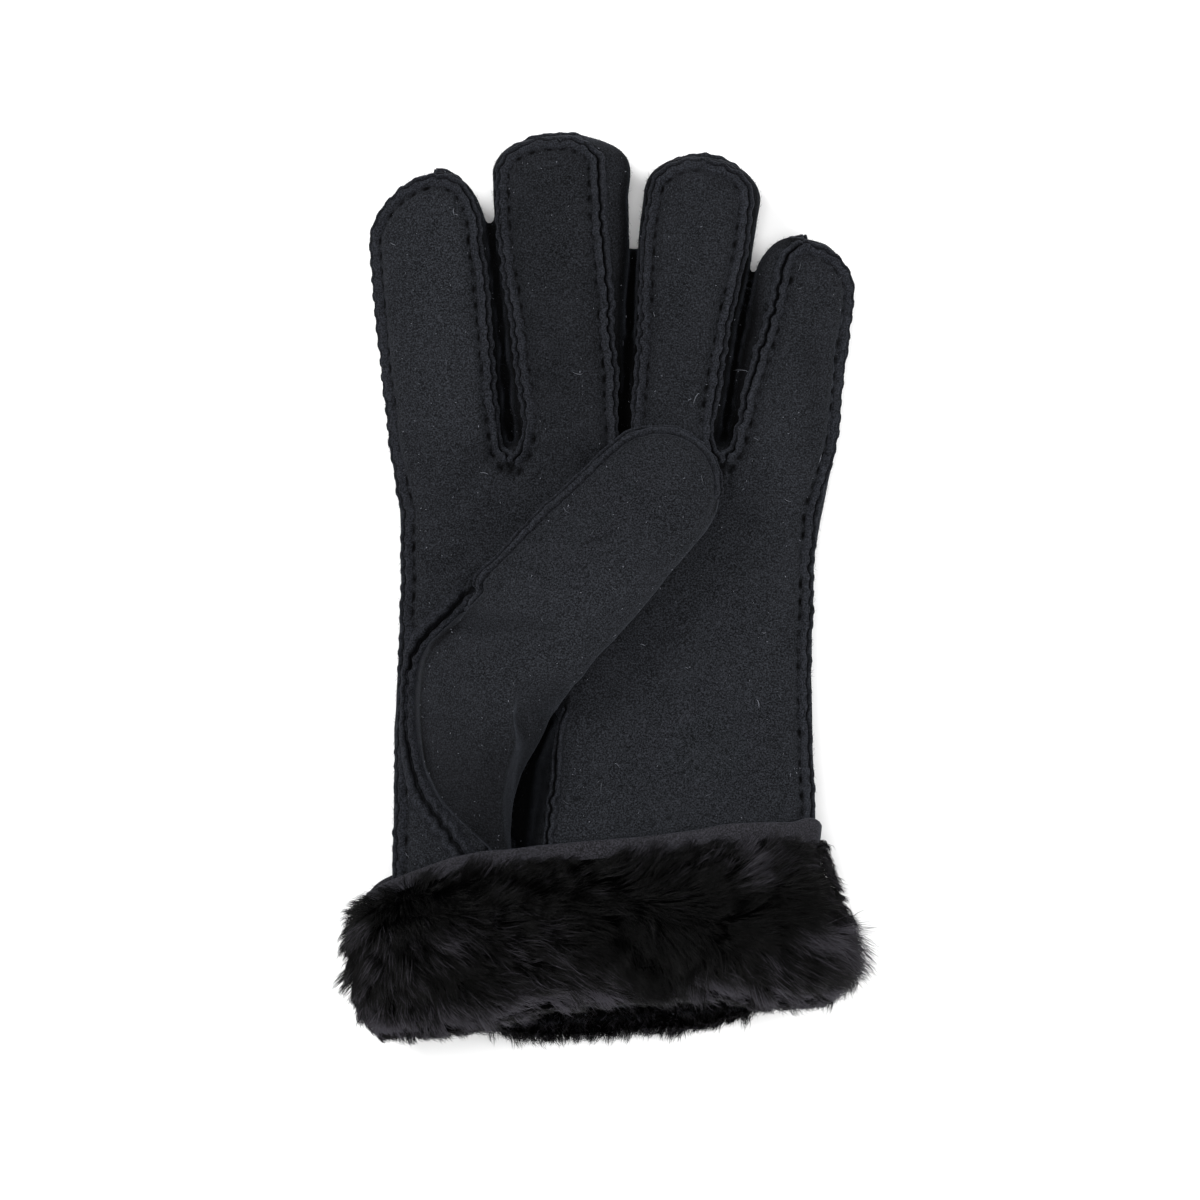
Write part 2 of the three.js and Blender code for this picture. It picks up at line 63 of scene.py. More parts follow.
def newMaterial(name):
    material = bpy.data.materials.new(name)
    material.use_nodes = True
    material.node_tree.nodes.clear()
    return material


def finishMaterial(material, inputs):
    shader = addNode(material, "ShaderNodeBsdfPrincipled", inputs)
    addNode(material, "ShaderNodeOutputMaterial", {"Surface": shader.outputs[0]})
    return material


suedeLook = {
    "dark": "#070809",
    "middle": "#101113",
    "light": "#303237",
    # the colour of painted shade, mixed in where the fold attribute is high
    "paintedShade": "#000000",
    "napSize": 0.42,  # mm, drawn about twice as coarse as the real nap so that it shows
    "patchSize": 14,  # mm, where the nap was stroked another way
    "roughness": 0.95,
    "sheen": 0.08,
    "sheenRoughness": 0.32,
    "bump": 0.5,
}


def makeSuede(name, look):
    # Napped suede is brushed skin: no gloss, soft grain, lighter patches where the nap lies another way,
    # a faint light rim where it is seen edge-on, and painted shade, near black, where the fold attribute marks seams,
    # grooves and hollows
    material = newMaterial(name)
    place = addNode(material, "ShaderNodeTexCoord").outputs["Object"]
    nap = addNode(material, "ShaderNodeTexNoise", {
        "Vector": place, "Scale": 1 / (look["napSize"] * millimetre), "Detail": 3, "Roughness": 0.75})
    patch = addNode(material, "ShaderNodeTexNoise", {
        "Vector": place, "Scale": 1 / (look["patchSize"] * millimetre), "Detail": 5, "Roughness": 0.65, "Distortion": 0.8})
    patchShare = addNode(material, "ShaderNodeMapRange", {
        "Value": patch.outputs["Fac"], "From Min": 0.34, "From Max": 0.66})
    napShare = addNode(material, "ShaderNodeMapRange", {
        "Value": nap.outputs["Fac"], "From Min": 0.42, "From Max": 0.7})
    ground = addNode(material, "ShaderNodeMix", {
        0: patchShare.outputs[0], 6: linear(look["dark"]), 7: linear(look["middle"])}, data_type="RGBA")
    grained = addNode(material, "ShaderNodeMix", {
        0: napShare.outputs[0], 6: ground.outputs[2], 7: linear(look["light"])}, data_type="RGBA")
    # fold carries painted shade: in seam grooves and stitch dips, in the thumb's valley and hollows, and between the
    # fingers
    fold = addNode(material, "ShaderNodeAttribute", attribute_name="fold").outputs["Fac"]
    colour = addNode(material, "ShaderNodeMix", {
        0: fold, 6: grained.outputs[2], 7: linear(look["paintedShade"])}, data_type="RGBA")
    bump = addNode(material, "ShaderNodeBump", {
        "Height": nap.outputs["Fac"], "Strength": look["bump"], "Distance": 0.3 * millimetre})
    return finishMaterial(material, {
        "Base Color": colour.outputs[2], "Roughness": look["roughness"], "IOR": 1.45,
        "Specular IOR Level": 0.06, "Sheen Weight": look["sheen"], "Sheen Roughness": look["sheenRoughness"],
        "Sheen Tint": linear("#aeb6c8"), "Normal": bump.outputs[0]})


def makeLint(name):
    # Lint is loose pale fibre caught in the nap: matt, greyish white, in two shades
    material = newMaterial(name)
    place = addNode(material, "ShaderNodeTexCoord").outputs["Object"]
    tone = addNode(material, "ShaderNodeTexNoise", {"Vector": place, "Scale": 1 / (6 * millimetre), "Detail": 0})
    share = addNode(material, "ShaderNodeMapRange", {"Value": tone.outputs["Fac"], "From Min": 0.4, "From Max": 0.6})
    colour = addNode(material, "ShaderNodeMix", {
        0: share.outputs[0], 6: linear("#3a3d44"), 7: linear("#7d8089")}, data_type="RGBA")
    return finishMaterial(material, {"Base Color": colour.outputs[2], "Roughness": 0.9, "IOR": 1.5})


# root, body and tip are the colours for low, middle and high shade, which holds the fur's painted light and shade and
# random tone
woolLook = {"root": "#000000", "body": "#020202", "tip": "#3e3c42", "roughness": 0.38, "specular": 0.1}


def makeWool(name, look):
    # Sheep's wool fibre is smooth keratin (IOR 1.55): near black, with a soft gloss along the hair
    material = newMaterial(name)
    # shade carries the fur's painted highlights and painted shade as well as random tone
    shade = addNode(material, "ShaderNodeAttribute", attribute_name="shade").outputs["Fac"]
    deep = addNode(material, "ShaderNodeMapRange", {"Value": shade, "From Min": 0.0, "From Max": 0.5})
    bright = addNode(material, "ShaderNodeMapRange", {"Value": shade, "From Min": 0.5, "From Max": 1.0})
    low = addNode(material, "ShaderNodeMix", {
        0: deep.outputs[0], 6: linear(look["root"]), 7: linear(look["body"])}, data_type="RGBA")
    colour = addNode(material, "ShaderNodeMix", {
        0: bright.outputs[0], 6: low.outputs[2], 7: linear(look["tip"])}, data_type="RGBA")
    return finishMaterial(material, {
        "Base Color": colour.outputs[2], "Roughness": look["roughness"], "IOR": 1.55,
        "Specular IOR Level": look["specular"]})


def makeThread(name):
    # Waxed polyester thread is near black, with a dull gloss and a tight twist 0.35 mm long
    material = newMaterial(name)
    place = addNode(material, "ShaderNodeTexCoord").outputs["Object"]
    twist = addNode(material, "ShaderNodeTexNoise", {"Vector": place, "Scale": 1 / (0.35 * millimetre), "Detail": 1})
    share = addNode(material, "ShaderNodeMapRange", {"Value": twist.outputs["Fac"], "From Min": 0.3, "From Max": 0.7})
    colour = addNode(material, "ShaderNodeMix", {
        0: share.outputs[0], 6: linear("#030304"), 7: linear("#0b0b0e")}, data_type="RGBA")
    return finishMaterial(material, {"Base Color": colour.outputs[2], "Roughness": 0.7, "IOR": 1.5})


suede = makeSuede("nappedSuede", suedeLook)
edgeSuede = makeSuede("cutSuedeEdge", {**suedeLook, "dark": "#0a0b0d", "middle": "#131416", "light": "#303238"})
bandSuede = makeSuede("bandSuede", {**suedeLook, "dark": "#121213", "middle": "#1b1b1d", "light": "#37363c"})
lint = makeLint("paleLint")
wool = makeWool("blackWool", woolLook)
deepWool = makeWool("deepWool", {**woolLook, "roughness": 0.9, "specular": 0.02})
thread = makeThread("waxedThread")


def unit(vectors):
    return vectors / np.maximum(np.linalg.norm(vectors, axis=-1, keepdims=True), 1e-9)


def smoothStep(low, high, value):
    # 0 below low, 1 above high, and 3t^2 - 2t^3 between
    t = np.clip((value - low) / (high - low), 0, 1)
    return t * t * (3 - 2 * t)


def gridFaces(rows, columns):
    # the quad from point (r, c) to its neighbours, where the columns close on themselves
    r, c = np.meshgrid(np.arange(rows - 1), np.arange(columns), indexing="ij")
    after = (c + 1) % columns
    return np.stack([r * columns + c, r * columns + after, (r + 1) * columns + after, (r + 1) * columns + c], -1).reshape(-1, 4)


def volumeOf(points, faces):
    # sum over the faces' triangles of a . (b x c) / 6
    total = 0
    for group in faces:
        a = points[group[:, 0]]
        for j in range(1, group.shape[1] - 1):
            total += np.einsum("ij,ij->", a, np.cross(points[group[:, j]], points[group[:, j + 1]])) / 6
    return total


def closedTube(rings):
    # rings (n, m, 3) joined by quads, with a fan of triangles to the middle of each end ring
    n, m = rings.shape[:2]
    points = np.concatenate([rings.reshape(-1, 3), rings[[0, -1]].mean(1)])
    here = np.arange(m)
    after = (here + 1) % m
    start = np.stack([np.full(m, n * m), after, here], -1)
    end = np.stack([np.full(m, n * m + 1), (n - 1) * m + here, (n - 1) * m + after], -1)
    faces = [gridFaces(n, m), np.concatenate([start, end])]
    if volumeOf(points, faces) < 0:
        faces = [group[:, ::-1] for group in faces]
    return points, faces


def joined(bodies):
    # several (points, faces) in one, with the face numbers moved along
    points, quads, triangles, count = [], [], [], 0
    for bodyPoints, bodyFaces in bodies:
        points.append(bodyPoints)
        for group in bodyFaces:
            (quads if group.shape[1] == 4 else triangles).append(group + count)
        count += len(bodyPoints)
    faces = [np.concatenate(groups) for groups in (quads, triangles) if groups]
    return np.concatenate(points), faces


def meshOf(name, points, faces):
    corners = np.concatenate([group.ravel() for group in faces]).astype(np.int32)
    sizes = np.concatenate([np.full(len(group), group.shape[1]) for group in faces])
    starts = np.concatenate([[0], np.cumsum(sizes)[:-1]]).astype(np.int32)
    mesh = bpy.data.meshes.new(name)
    mesh.vertices.add(len(points))
    mesh.vertices.foreach_set("co", (points * millimetre).astype(np.float32).ravel())
    mesh.loops.add(len(corners))
    mesh.loops.foreach_set("vertex_index", corners)
    mesh.polygons.add(len(sizes))
    mesh.polygons.foreach_set("loop_start", starts)
    mesh.update(calc_edges=True)
    mesh.shade_smooth()
    return mesh


def addPiece(name, body, material, replaces=(), tone=None, toneName="shade", wall=0):
    # a piece in place in the frame; wall is the skin's thickness, taken inwards
    points, faces = body
    mesh = meshOf(name, points, faces)
    mesh.materials.append(material)
    if tone is not None:
        mesh.attributes.new(toneName, "FLOAT", "POINT").data.foreach_set("value", tone.astype(np.float32))
    piece = bpy.data.objects.new(name, mesh)
    bpy.context.scene.collection.objects.link(piece)
    if wall:
        solid = piece.modifiers.new("wall", "SOLIDIFY")
        solid.thickness = wall * millimetre
        solid.offset = -1
    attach(piece, "root")
    if replaces:
        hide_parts(*replaces)
    return piece


def remeshed(body, voxel):
    # one closed skin of quads round overlapping closed bodies
    former = bpy.data.objects.new("former", meshOf("former", *body))
    bpy.context.scene.collection.objects.link(former)
    skinner = former.modifiers.new("skin", "REMESH")
    skinner.mode = "VOXEL"
    skinner.voxel_size = voxel * millimetre
    made = former.evaluated_get(bpy.context.evaluated_depsgraph_get()).to_mesh()
    points = np.empty(len(made.vertices) * 3, np.float32)
    made.vertices.foreach_get("co", points)
    corners = np.empty(len(made.loops), np.int32)
    made.loops.foreach_get("vertex_index", corners)
    bpy.data.objects.remove(former)
    return points.reshape(-1, 3).astype(float) / millimetre, corners.reshape(-1, 4)


def smoothed(points, quads, rounds, strength=0.5):
    # each round moves a point by strength towards the mean of its neighbours, then back by a little less
    a = quads.ravel()
    b = np.roll(quads, -1, axis=1).ravel()
    count = np.bincount(np.concatenate([a, b]), minlength=len(points))[:, None]
    for step in range(rounds * 2):
        share = strength if step % 2 == 0 else -strength * 0.85
        total = np.stack([
            np.bincount(a, points[b, j], len(points)) + np.bincount(b, points[a, j], len(points)) for j in range(3)], -1)
        points = points + share * (total / np.maximum(count, 1) - points)
    return points


def normalsOf(points, quads):
    # the mean of the crossed diagonals of the quads round a point
    across = np.cross(points[quads[:, 2]] - points[quads[:, 0]], points[quads[:, 3]] - points[quads[:, 1]])
    total = np.stack([
        sum(np.bincount(quads[:, i], across[:, j], len(points)) for i in range(4)) for j in range(3)], -1)
    return unit(total)


def softNoise(points, size, key):
    # random values on a cubic lattice of that spacing, blended with 3t^2 - 2t^3
    values = np.random.default_rng(seed + key).uniform(-1, 1, (24, 24, 24))
    at = points / size + 500.0
    cell = np.floor(at).astype(int)
    f = at - cell
    f = f * f * (3 - 2 * f)
    total = np.zeros(points.shape[:-1])
    for corner in np.ndindex(2, 2, 2):
        weight = np.prod([f[..., j] if corner[j] else 1 - f[..., j] for j in range(3)], axis=0)
        spot = [(cell[..., j] + corner[j]) % 24 for j in range(3)]
        total += weight * values[spot[0], spot[1], spot[2]]
    return total


def nearest(queries, targets, chunk=400, around=9):
    # the number of the target nearest to each query, among those in a box round a run of queries
    found = np.empty(len(queries), int)
    for start in range(0, len(queries), chunk):
        part = queries[start:start + chunk]
        inside = np.all((targets > part.min(0) - around) & (targets < part.max(0) + around), axis=1)
        rows = np.flatnonzero(inside) if inside.any() else np.arange(len(targets))
        some = targets[rows]
        distance = (some ** 2).sum(1)[None] - 2 * part @ some.T
        found[start:start + chunk] = rows[distance.argmin(1)]
    return found


def settled(points, skin):
    # the point's foot on the tangent plane of the skin's nearest vertex, and the normal there
    shape = points.shape
    flat = points.reshape(-1, 3)
    spot = nearest(flat, skin["points"])
    normal = skin["normals"][spot]
    foot = flat - normal * np.einsum("ij,ij->i", flat - skin["points"][spot], normal)[:, None]
    return foot.reshape(shape), normal.reshape(shape)


def dropped(spots, skin):
    # spots (n, 2) laid on the skin's upper side: z = vz - (nx dx + ny dy) / nz at the nearest vertex
    top = skin["normals"][:, 2] > 0.25
    vertices, normals = skin["points"][top], skin["normals"][top]
    flat = np.concatenate([vertices[:, :2], np.zeros((len(vertices), 1))], 1)
    query = np.concatenate([spots, np.zeros((len(spots), 1))], 1)
    spot = nearest(query, flat)
    slope = np.einsum("ij,ij->i", normals[spot][:, :2], spots - vertices[spot][:, :2])
    return np.column_stack([spots, vertices[spot][:, 2] - slope / normals[spot][:, 2]])


def insideOf(spots, outline):
    # counts the outline's edges that a ray to the right crosses
    x, y = spots[:, 0], spots[:, 1]
    inside = np.zeros(len(spots), bool)
    for (x0, y0), (x1, y1) in zip(outline, np.roll(outline, -1, axis=0)):
        crosses = (y0 > y) != (y1 > y)
        inside ^= crosses & (x < (x1 - x0) * (y - y0) / (y1 - y0 + 1e-12) + x0)
    return inside


def resampled(path, step):
    # the same path with points at equal steps of its length
    length = np.concatenate([[0], np.cumsum(np.linalg.norm(np.diff(path, axis=0), axis=1))])
    at = np.linspace(0, length[-1], max(int(length[-1] / step), 4) + 1)
    return np.stack([np.interp(at, length, path[:, j]) for j in range(path.shape[1])], -1)


def eased(path, rounds):
    # inner points move to the mean of themselves and their two neighbours
    path = path.copy()
    for _ in range(rounds):
        path[1:-1] = (path[:-2] + path[1:-1] + path[2:]) / 3
    return path


def traced(pixels):
    # a line read from the photograph at 0.27 mm a pixel, with the origin at (602, 588)
    pixels = np.array(pixels, float)
    return np.stack([(pixels[:, 0] - 602) * 0.27, (588 - pixels[:, 1]) * 0.27], -1)


# The sewn form, with the part's own numbers
handForm = {
    "palmLength": 153, "palmWidth": 113.1, "palmShift": 0.35, "palmThickness": 25, "webLevel": 39, "knuckleShift": 2.6,
    "fingerSpread": 3.5, "spreadLevel": 50, "rootGap": 0.8, "fingerSink": 26, "sunkSize": 0.7,
    "tipLift": 3.5, "floorPress": 1.2, "fingerPower": 2.25, "palmPower": 2.6, "cuffTurn": 4.5, "cuffLift": 5,
    "skinStep": 0.95,
    "wall": 1.5,
}
palmForm = {
    "at": [-0.1, 0, 0.34, 0.42, 0.5, 0.64, 0.78, 0.9, 0.955, 0.985, 1],
    "own": [1.01, 1.01, 1.01, 1.005, 1, 0.985, 0.69, 0.3, 0.15, 0, 0],
    "knuckle": [0, 0, 0, 0, 0, 0, 0.28, 0.67, 0.8, 0.93, 0.9],
    "height": [1, 1, 1, 1, 1, 1, 1, 0.98, 0.84, 0.6, 0.3],
    "lift": [1.12, 1, 0.6, 0.25, 0.04, 0, 0, 0, 0, 0, 0],
    "turn": [1, 1, 1, 0.5, 0, 0, 0, 0, 0, 0, 0],
    "left": [0, 0, 0, 0, 0, 0.3, 0.8, 0.8, 0.4, 0, 0],  # mm wider on the thumb's side
}
# length, root width, width, thickness, gap to the next, length of the tip's rounding and its squareness
fingers = np.array([
    [73.8, 30.7, 30.8, 24, 0.6, 16, 1.5],
    [83.3, 29, 35.6, 25, 2.6, 12, 2.8],
    [77.8, 26.5, 30.2, 24, 1, 13, 2.4],
    [56.1, 28.2, 26.4, 22.5, 0, 12, 2.1],
])

# mm from the web up to which neighbours touch, low down between them
touchLength = np.array([43.0, 53.0, 46.0])

# mm that a finger's left and right walls are drawn in at mid height, by share of its length; less than 0 swells
pinchAt = np.array([0.25, 0.45, 0.64, 0.9])
wallPinch = np.array([
    [[-1.6, 0.4], [-1.9, 0.1], [-2.3, 0.5], [-2.3, 1.7]],
    [[0.5, -1.2], [0.2, -0.3], [0.0, -0.6], [-1.3, -1.3]],
    [[0.2, 0.4], [0.5, 0.4], [0.1, -0.5], [-1.2, -1.5]],
    [[0.4, -1.5], [0.5, -2.3], [0.8, -2.2], [1.9, -0.9]],
])
tipShift = np.array([2.2, 0.6, 0.6, -0.7])  # mm that a tip stands to the right of its finger's middle


def sideBySide(widths, gaps, middle):
    # centres of strips that lie next to each other, round the middle
    ends = np.cumsum(widths + gaps) - gaps
    return middle - (widths.sum() + gaps.sum()) / 2 + ends - widths / 2


rootGaps = np.array([1, 1, 1, 0]) * handForm["rootGap"]
rootX = sideBySide(fingers[:, 1], rootGaps, handForm["knuckleShift"])
spreadX = sideBySide(fingers[:, 2], fingers[:, 4], handForm["fingerSpread"])
knuckleWidth = fingers[:, 1].sum() + rootGaps.sum()
leans = np.arctan2(spreadX - rootX, handForm["spreadLevel"])


def section(centre, heading, pitch, half, rise, drop=None):
    # a squared ellipse whose plane faces along heading and pitch, in degrees
    turn, tilt = np.radians(heading) + 0 * half, np.radians(pitch) + 0 * half
    across = np.stack([np.sin(turn), -np.cos(turn), 0 * half], -1)
    up = np.stack([-np.cos(turn) * np.sin(tilt), -np.sin(turn) * np.sin(tilt), np.cos(tilt)], -1)
    return {
        "centre": centre, "across": across, "up": up, "half": half, "rise": rise, "drop": rise if drop is None else drop}


def onSection(place, angle, power):
    # centre + across * half * cos^(2/p) + up * (rise or drop) * sin^(2/p), both with their signs;
    # a pinch draws the sides in by pinch * cos^4, above the low part where neighbours touch
    c, s = np.cos(angle), np.sin(angle)
    sideways = place["half"] * np.sign(c) * np.abs(c) ** (2 / power)
    if "pinch" in place:
        pinch = np.where(c < 0, place["pinch"][..., 0], place["pinch"][..., 1])
        touching = 1 - place["low"] * smoothStep(0.1, -0.5, s)
        sideways = sideways - np.sign(c) * np.abs(c) ** 4 * np.where(pinch > 0, pinch * touching, pinch)
    upwards = np.where(s > 0, place["rise"], place["drop"]) * np.sign(s) * np.abs(s) ** (2 / power)
    return place["centre"] + place["across"] * sideways[..., None] + place["up"] * upwards[..., None]


def ringsOf(place, angles, power):
    # every section at every angle, as (sections, angles, 3)
    wide = {key: value[:, None] for key, value in place.items()}
    return onSection(wide, angles[None], power)


def palmPlace(at):
    at = np.asarray(at, float)
    row = {key: np.interp(at, palmForm["at"], palmForm[key]) for key in palmForm}
    half = (handForm["palmWidth"] * row["own"] + knuckleWidth * row["knuckle"] + row["left"]) / 2
    depth = handForm["palmThickness"] * row["height"] / 2
    level = handForm["webLevel"] + (at - 1) * handForm["palmLength"]
    press = handForm["floorPress"]
    centre = np.stack([
        handForm["palmShift"] + handForm["knuckleShift"] * np.maximum(0, (at - 0.5) * 2) - row["left"] / 2, level,
        handForm["palmThickness"] / 2 - press + row["lift"] * (handForm["cuffLift"] + press)], -1)
    return section(centre, 90 + row["turn"] * handForm["cuffTurn"], 0, half, depth)


def fingerPlace(k, reach):
    # width grows from the root's to the full one, and the tip rounds as (1 - u^q)^(1/2)
    length, rootWidth, width, thickness, _, capLength, square = fingers[k]
    along = reach / length
    spread = np.interp(along, [0, 0.35, 0.64, 1], [0, 0.45, 1, 1])
    lift = smoothStep(0.5, 1.05, along)
    u = np.clip((reach - length + capLength) / capLength, 0, 1)
    size = np.sqrt(np.maximum(1 - u ** square, 0)) * (1 - 0.02 * smoothStep(0.6, 1, along))
    half = (rootWidth + (width - rootWidth) * spread) / 2
    centre = np.stack([
        rootX[k] + np.sin(leans[k]) * reach + tipShift[k] * smoothStep(0.7, 1, along), handForm["webLevel"] + np.cos(leans[k]) * reach,
        thickness / 2 - handForm["floorPress"] + lift * handForm["tipLift"]], -1)
    place = section(centre, 90 - np.degrees(leans[k]), 0, half * size, thickness / 2 * size)
    place["pinch"] = np.stack([np.interp(along, pinchAt, wallPinch[k, :, side]) for side in (0, 1)], -1) * size[:, None]
    place["low"] = 1 - smoothStep(0.36, 0.52, along)
    return place


def crackFloor(k):
    # the low part where two neighbours touch: an elliptic tube midway between their walls
    reach = np.linspace(-12, touchLength[k], 24)
    left, right = (fingerPlace(finger, np.maximum(reach, 0)) for finger in (k, k + 1))
    wallLeft = left["centre"][:, 0] + left["half"]
    wallRight = right["centre"][:, 0] - right["half"]
    share = np.sqrt(np.clip((touchLength[k] + 0.5 - reach) / 4, 0, 1))
    turn = np.linspace(0, 2 * np.pi, 16, endpoint=False)
    half = np.abs(wallRight - wallLeft) / 2 + 2.2
    x = ((wallLeft + wallRight) / 2)[:, None] + (half * share)[:, None] * np.cos(turn)
    z = 6 + 4 * share[:, None] * np.sin(turn)
    y = np.broadcast_to((handForm["webLevel"] + reach)[:, None], x.shape)
    return closedTube(np.stack([x, y, z], -1))


def makeHand():
    # the palm's tube and four finger tubes, each through its sections, skinned in one
    turns = np.linspace(0, 2 * np.pi, 72, endpoint=False)
    bodies = [closedTube(ringsOf(palmPlace(np.linspace(-0.012, 1, 80)), turns, handForm["palmPower"]))]
    for k in range(4):
        length, cap = fingers[k, 0], fingers[k, 5]
        reach = np.concatenate([np.linspace(0, length - cap, 30), length - cap + cap * np.sin(np.linspace(0.08, np.pi / 2, 16))])
        place = fingerPlace(k, reach)
        sunk = {key: value[:1].copy() for key, value in place.items()}
        sunk["centre"][:, 1] -= handForm["fingerSink"]
        for side in ("half", "rise", "drop"):
            sunk[side] *= handForm["sunkSize"]
        whole = {key: np.concatenate([sunk[key], place[key]]) for key in place}
        bodies.append(closedTube(ringsOf(whole, turns, handForm["fingerPower"])))
    for k in range(3):
        bodies.append(crackFloor(k))
    points, quads = remeshed(joined(bodies), handForm["skinStep"])
    points = smoothed(points, quads, 5)
    return points, quads


# Seams. A stop is a share of the way along a finger, and the share of its half width where the seam runs.
seamForm = {
    "forks": [(6, 0.8, 0.76, 0.72, 0.9), (5, 0.86, 0.58, 0.78, 0.86), (6.5, 0.7, 0.84, 0.72, 0.36)],
    "forkNames": ["fourchette_index_middle", "fourchette_middle_ring", "fourchette_ring_little"],
    "sideTurn": 15,  # degrees that an outer seam lies above the middle of the glove
    "step": 0.7,
    "pitch": 4.4,  # from stitch to stitch
    "overTip": 1.5,  # mm that a seam runs past a fingertip's middle, into the next
    "tipInset": 2.3,  # mm that it stands in from the fingertip's outline there
    "stitchIn": 2.45,  # stitches stand this far in from the groove
}


def forkLine(k, share0, share1, face):
    # on a finger's section, share = cos(angle)^(2/p), so that angle = acos(share^(p/2))
    along = np.linspace(0.06, 1, 120)
    blend = np.interp(along, [0.06, 0.4, 0.75, 1], [0, 0.45, 1, 1])
    share = share0 + (share1 - share0) * blend
    power = handForm["fingerPower"]
    turn = np.arccos(np.sign(share) * np.abs(share) ** (power / 2)) * face
    length, cap = fingers[k, 0], fingers[k, 5]
    reach = np.minimum(along * length, length - 0.02)
    return onSection(fingerPlace(k, reach), turn, power)


def tipLine(k, side, share):
    # over a fingertip's palm side: the tip's outline, its width times share and its length shortened by tipInset
    length, cap = fingers[k, 0], fingers[k, 5]
    u = np.sin(np.linspace(0.1, np.pi / 2, 40))
    outline = fingerPlace(k, np.minimum(length - cap + cap * u, length - 0.02))
    middle = fingerPlace(k, length - cap + (cap - seamForm["tipInset"]) * u)["centre"][:, :2]
    pinch = outline["pinch"][:, 1 if side > 0 else 0] * share ** (2 * handForm["fingerPower"])
    return dropped(middle + outline["across"][:, :2] * (side * (share * outline["half"] - pinch))[:, None], skin)


def forkFoot(k):
    depth = seamForm["forks"][k][0]
    halves = fingers[k:k + 2, 1] / 2
    x = (rootX[k] + halves[0] + rootX[k + 1] - halves[1]) / 2
    return np.array([x, handForm["webLevel"] - depth])


def forkOutline(k):
    depth, leftWeb, leftTip, rightWeb, rightTip = seamForm["forks"][k]
    left = forkLine(k, leftWeb, leftTip, 1)[:, :2]
    right = forkLine(k + 1, -rightWeb, -rightTip, 1)[:, :2]
    over = handForm["webLevel"] + 100
    return np.concatenate([
        [forkFoot(k)], right[:-2], [[right[-1, 0], over], [left[-1, 0], over]], left[-3::-1]])


def makeSeam(line, skin, ease=6, ends=(2.5, 2.5)):
    # a path at equal steps on the skin, with the normal, the way along and the way to its right; ends are mm to fade in
    path = eased(resampled(line, seamForm["step"]), ease)
    for _ in range(2):
        path, normal = settled(path, skin)
        path = eased(path, 2)
    normal = unit(eased(normal, 12))
    way = unit(np.gradient(path, axis=0))
    side = unit(np.cross(way, normal))
    length = np.concatenate([[0], np.cumsum(np.linalg.norm(np.diff(path, axis=0), axis=1))])
    return {"path": path, "normal": normal, "way": way, "side": side, "length": length, "ends": ends}


def sideLine(k, side):
    # down a finger's outer side from its tip, and on down the palm to the cuff
    turn = np.radians(seamForm["sideTurn"])
    turn = turn if side > 0 else np.pi - turn
    reach = np.linspace(fingers[k, 0] - 0.02, 2, 90)
    finger = onSection(fingerPlace(k, reach), np.full(90, turn), handForm["fingerPower"])
    palm = onSection(palmPlace(np.linspace(0.88, 0.2, 90)), np.full(90, turn), handForm["palmPower"])
    tipPart = tipLine(k, side, 0.96)[::-1]
    return np.concatenate([tipPart, finger[finger[:, 1] < tipPart[-1, 1] - 0.5], palm])


leafLine = traced([(470, 591), (443, 620), (421, 641), (410, 664), (407, 697), (408, 735), (414, 770), (425, 801),
                   (443, 824), (459, 845), (474, 864), (488, 884)])
leafSeamEnd = -1  # the seam stops below the band, before the hole's lowest corner
thumbSide = traced([(720, 517), (620, 635), (590, 672), (566, 699), (550, 715), (535, 745), (521, 770), (513, 800),
                    (507, 840), (503, 874)])
ridgeLine = traced([(566, 704), (559, 738), (555, 780), (551, 810), (548, 840), (544, 872)])
thumbFold = traced([(556, 706), (535, 745), (521, 770), (513, 800), (507, 840), (503, 874)])
valleyForm = {"depth": 13.5, "start": -31, "full": -37}


def dentValley(points, normals):
    # the skin right of the thumb's root sinks by depth * (1 - smooth step of the share from the thumb to the ridge)
    y = points[:, 1]
    fold = np.interp(-y, -thumbFold[:, 1], thumbFold[:, 0])
    ridge = np.interp(-y, -ridgeLine[:, 1], ridgeLine[:, 0])
    share = (points[:, 0] - fold) / np.maximum(ridge - fold, 0.5)
    across = 1 - smoothStep(0.3, 0.97, share)
    keep = smoothStep(-9, -5.5, points[:, 0] - fold - 3.5 * smoothStep(-58, -66, y))
    fade = smoothStep(valleyForm["start"], valleyForm["full"], y) * smoothStep(-92, -84, y)
    dent = valleyForm["depth"] * across * keep * fade * smoothStep(-0.1, 0.5, normals[:, 2])
    points = points.copy()
    points[:, 2] -= dent
    return points, dent / valleyForm["depth"]


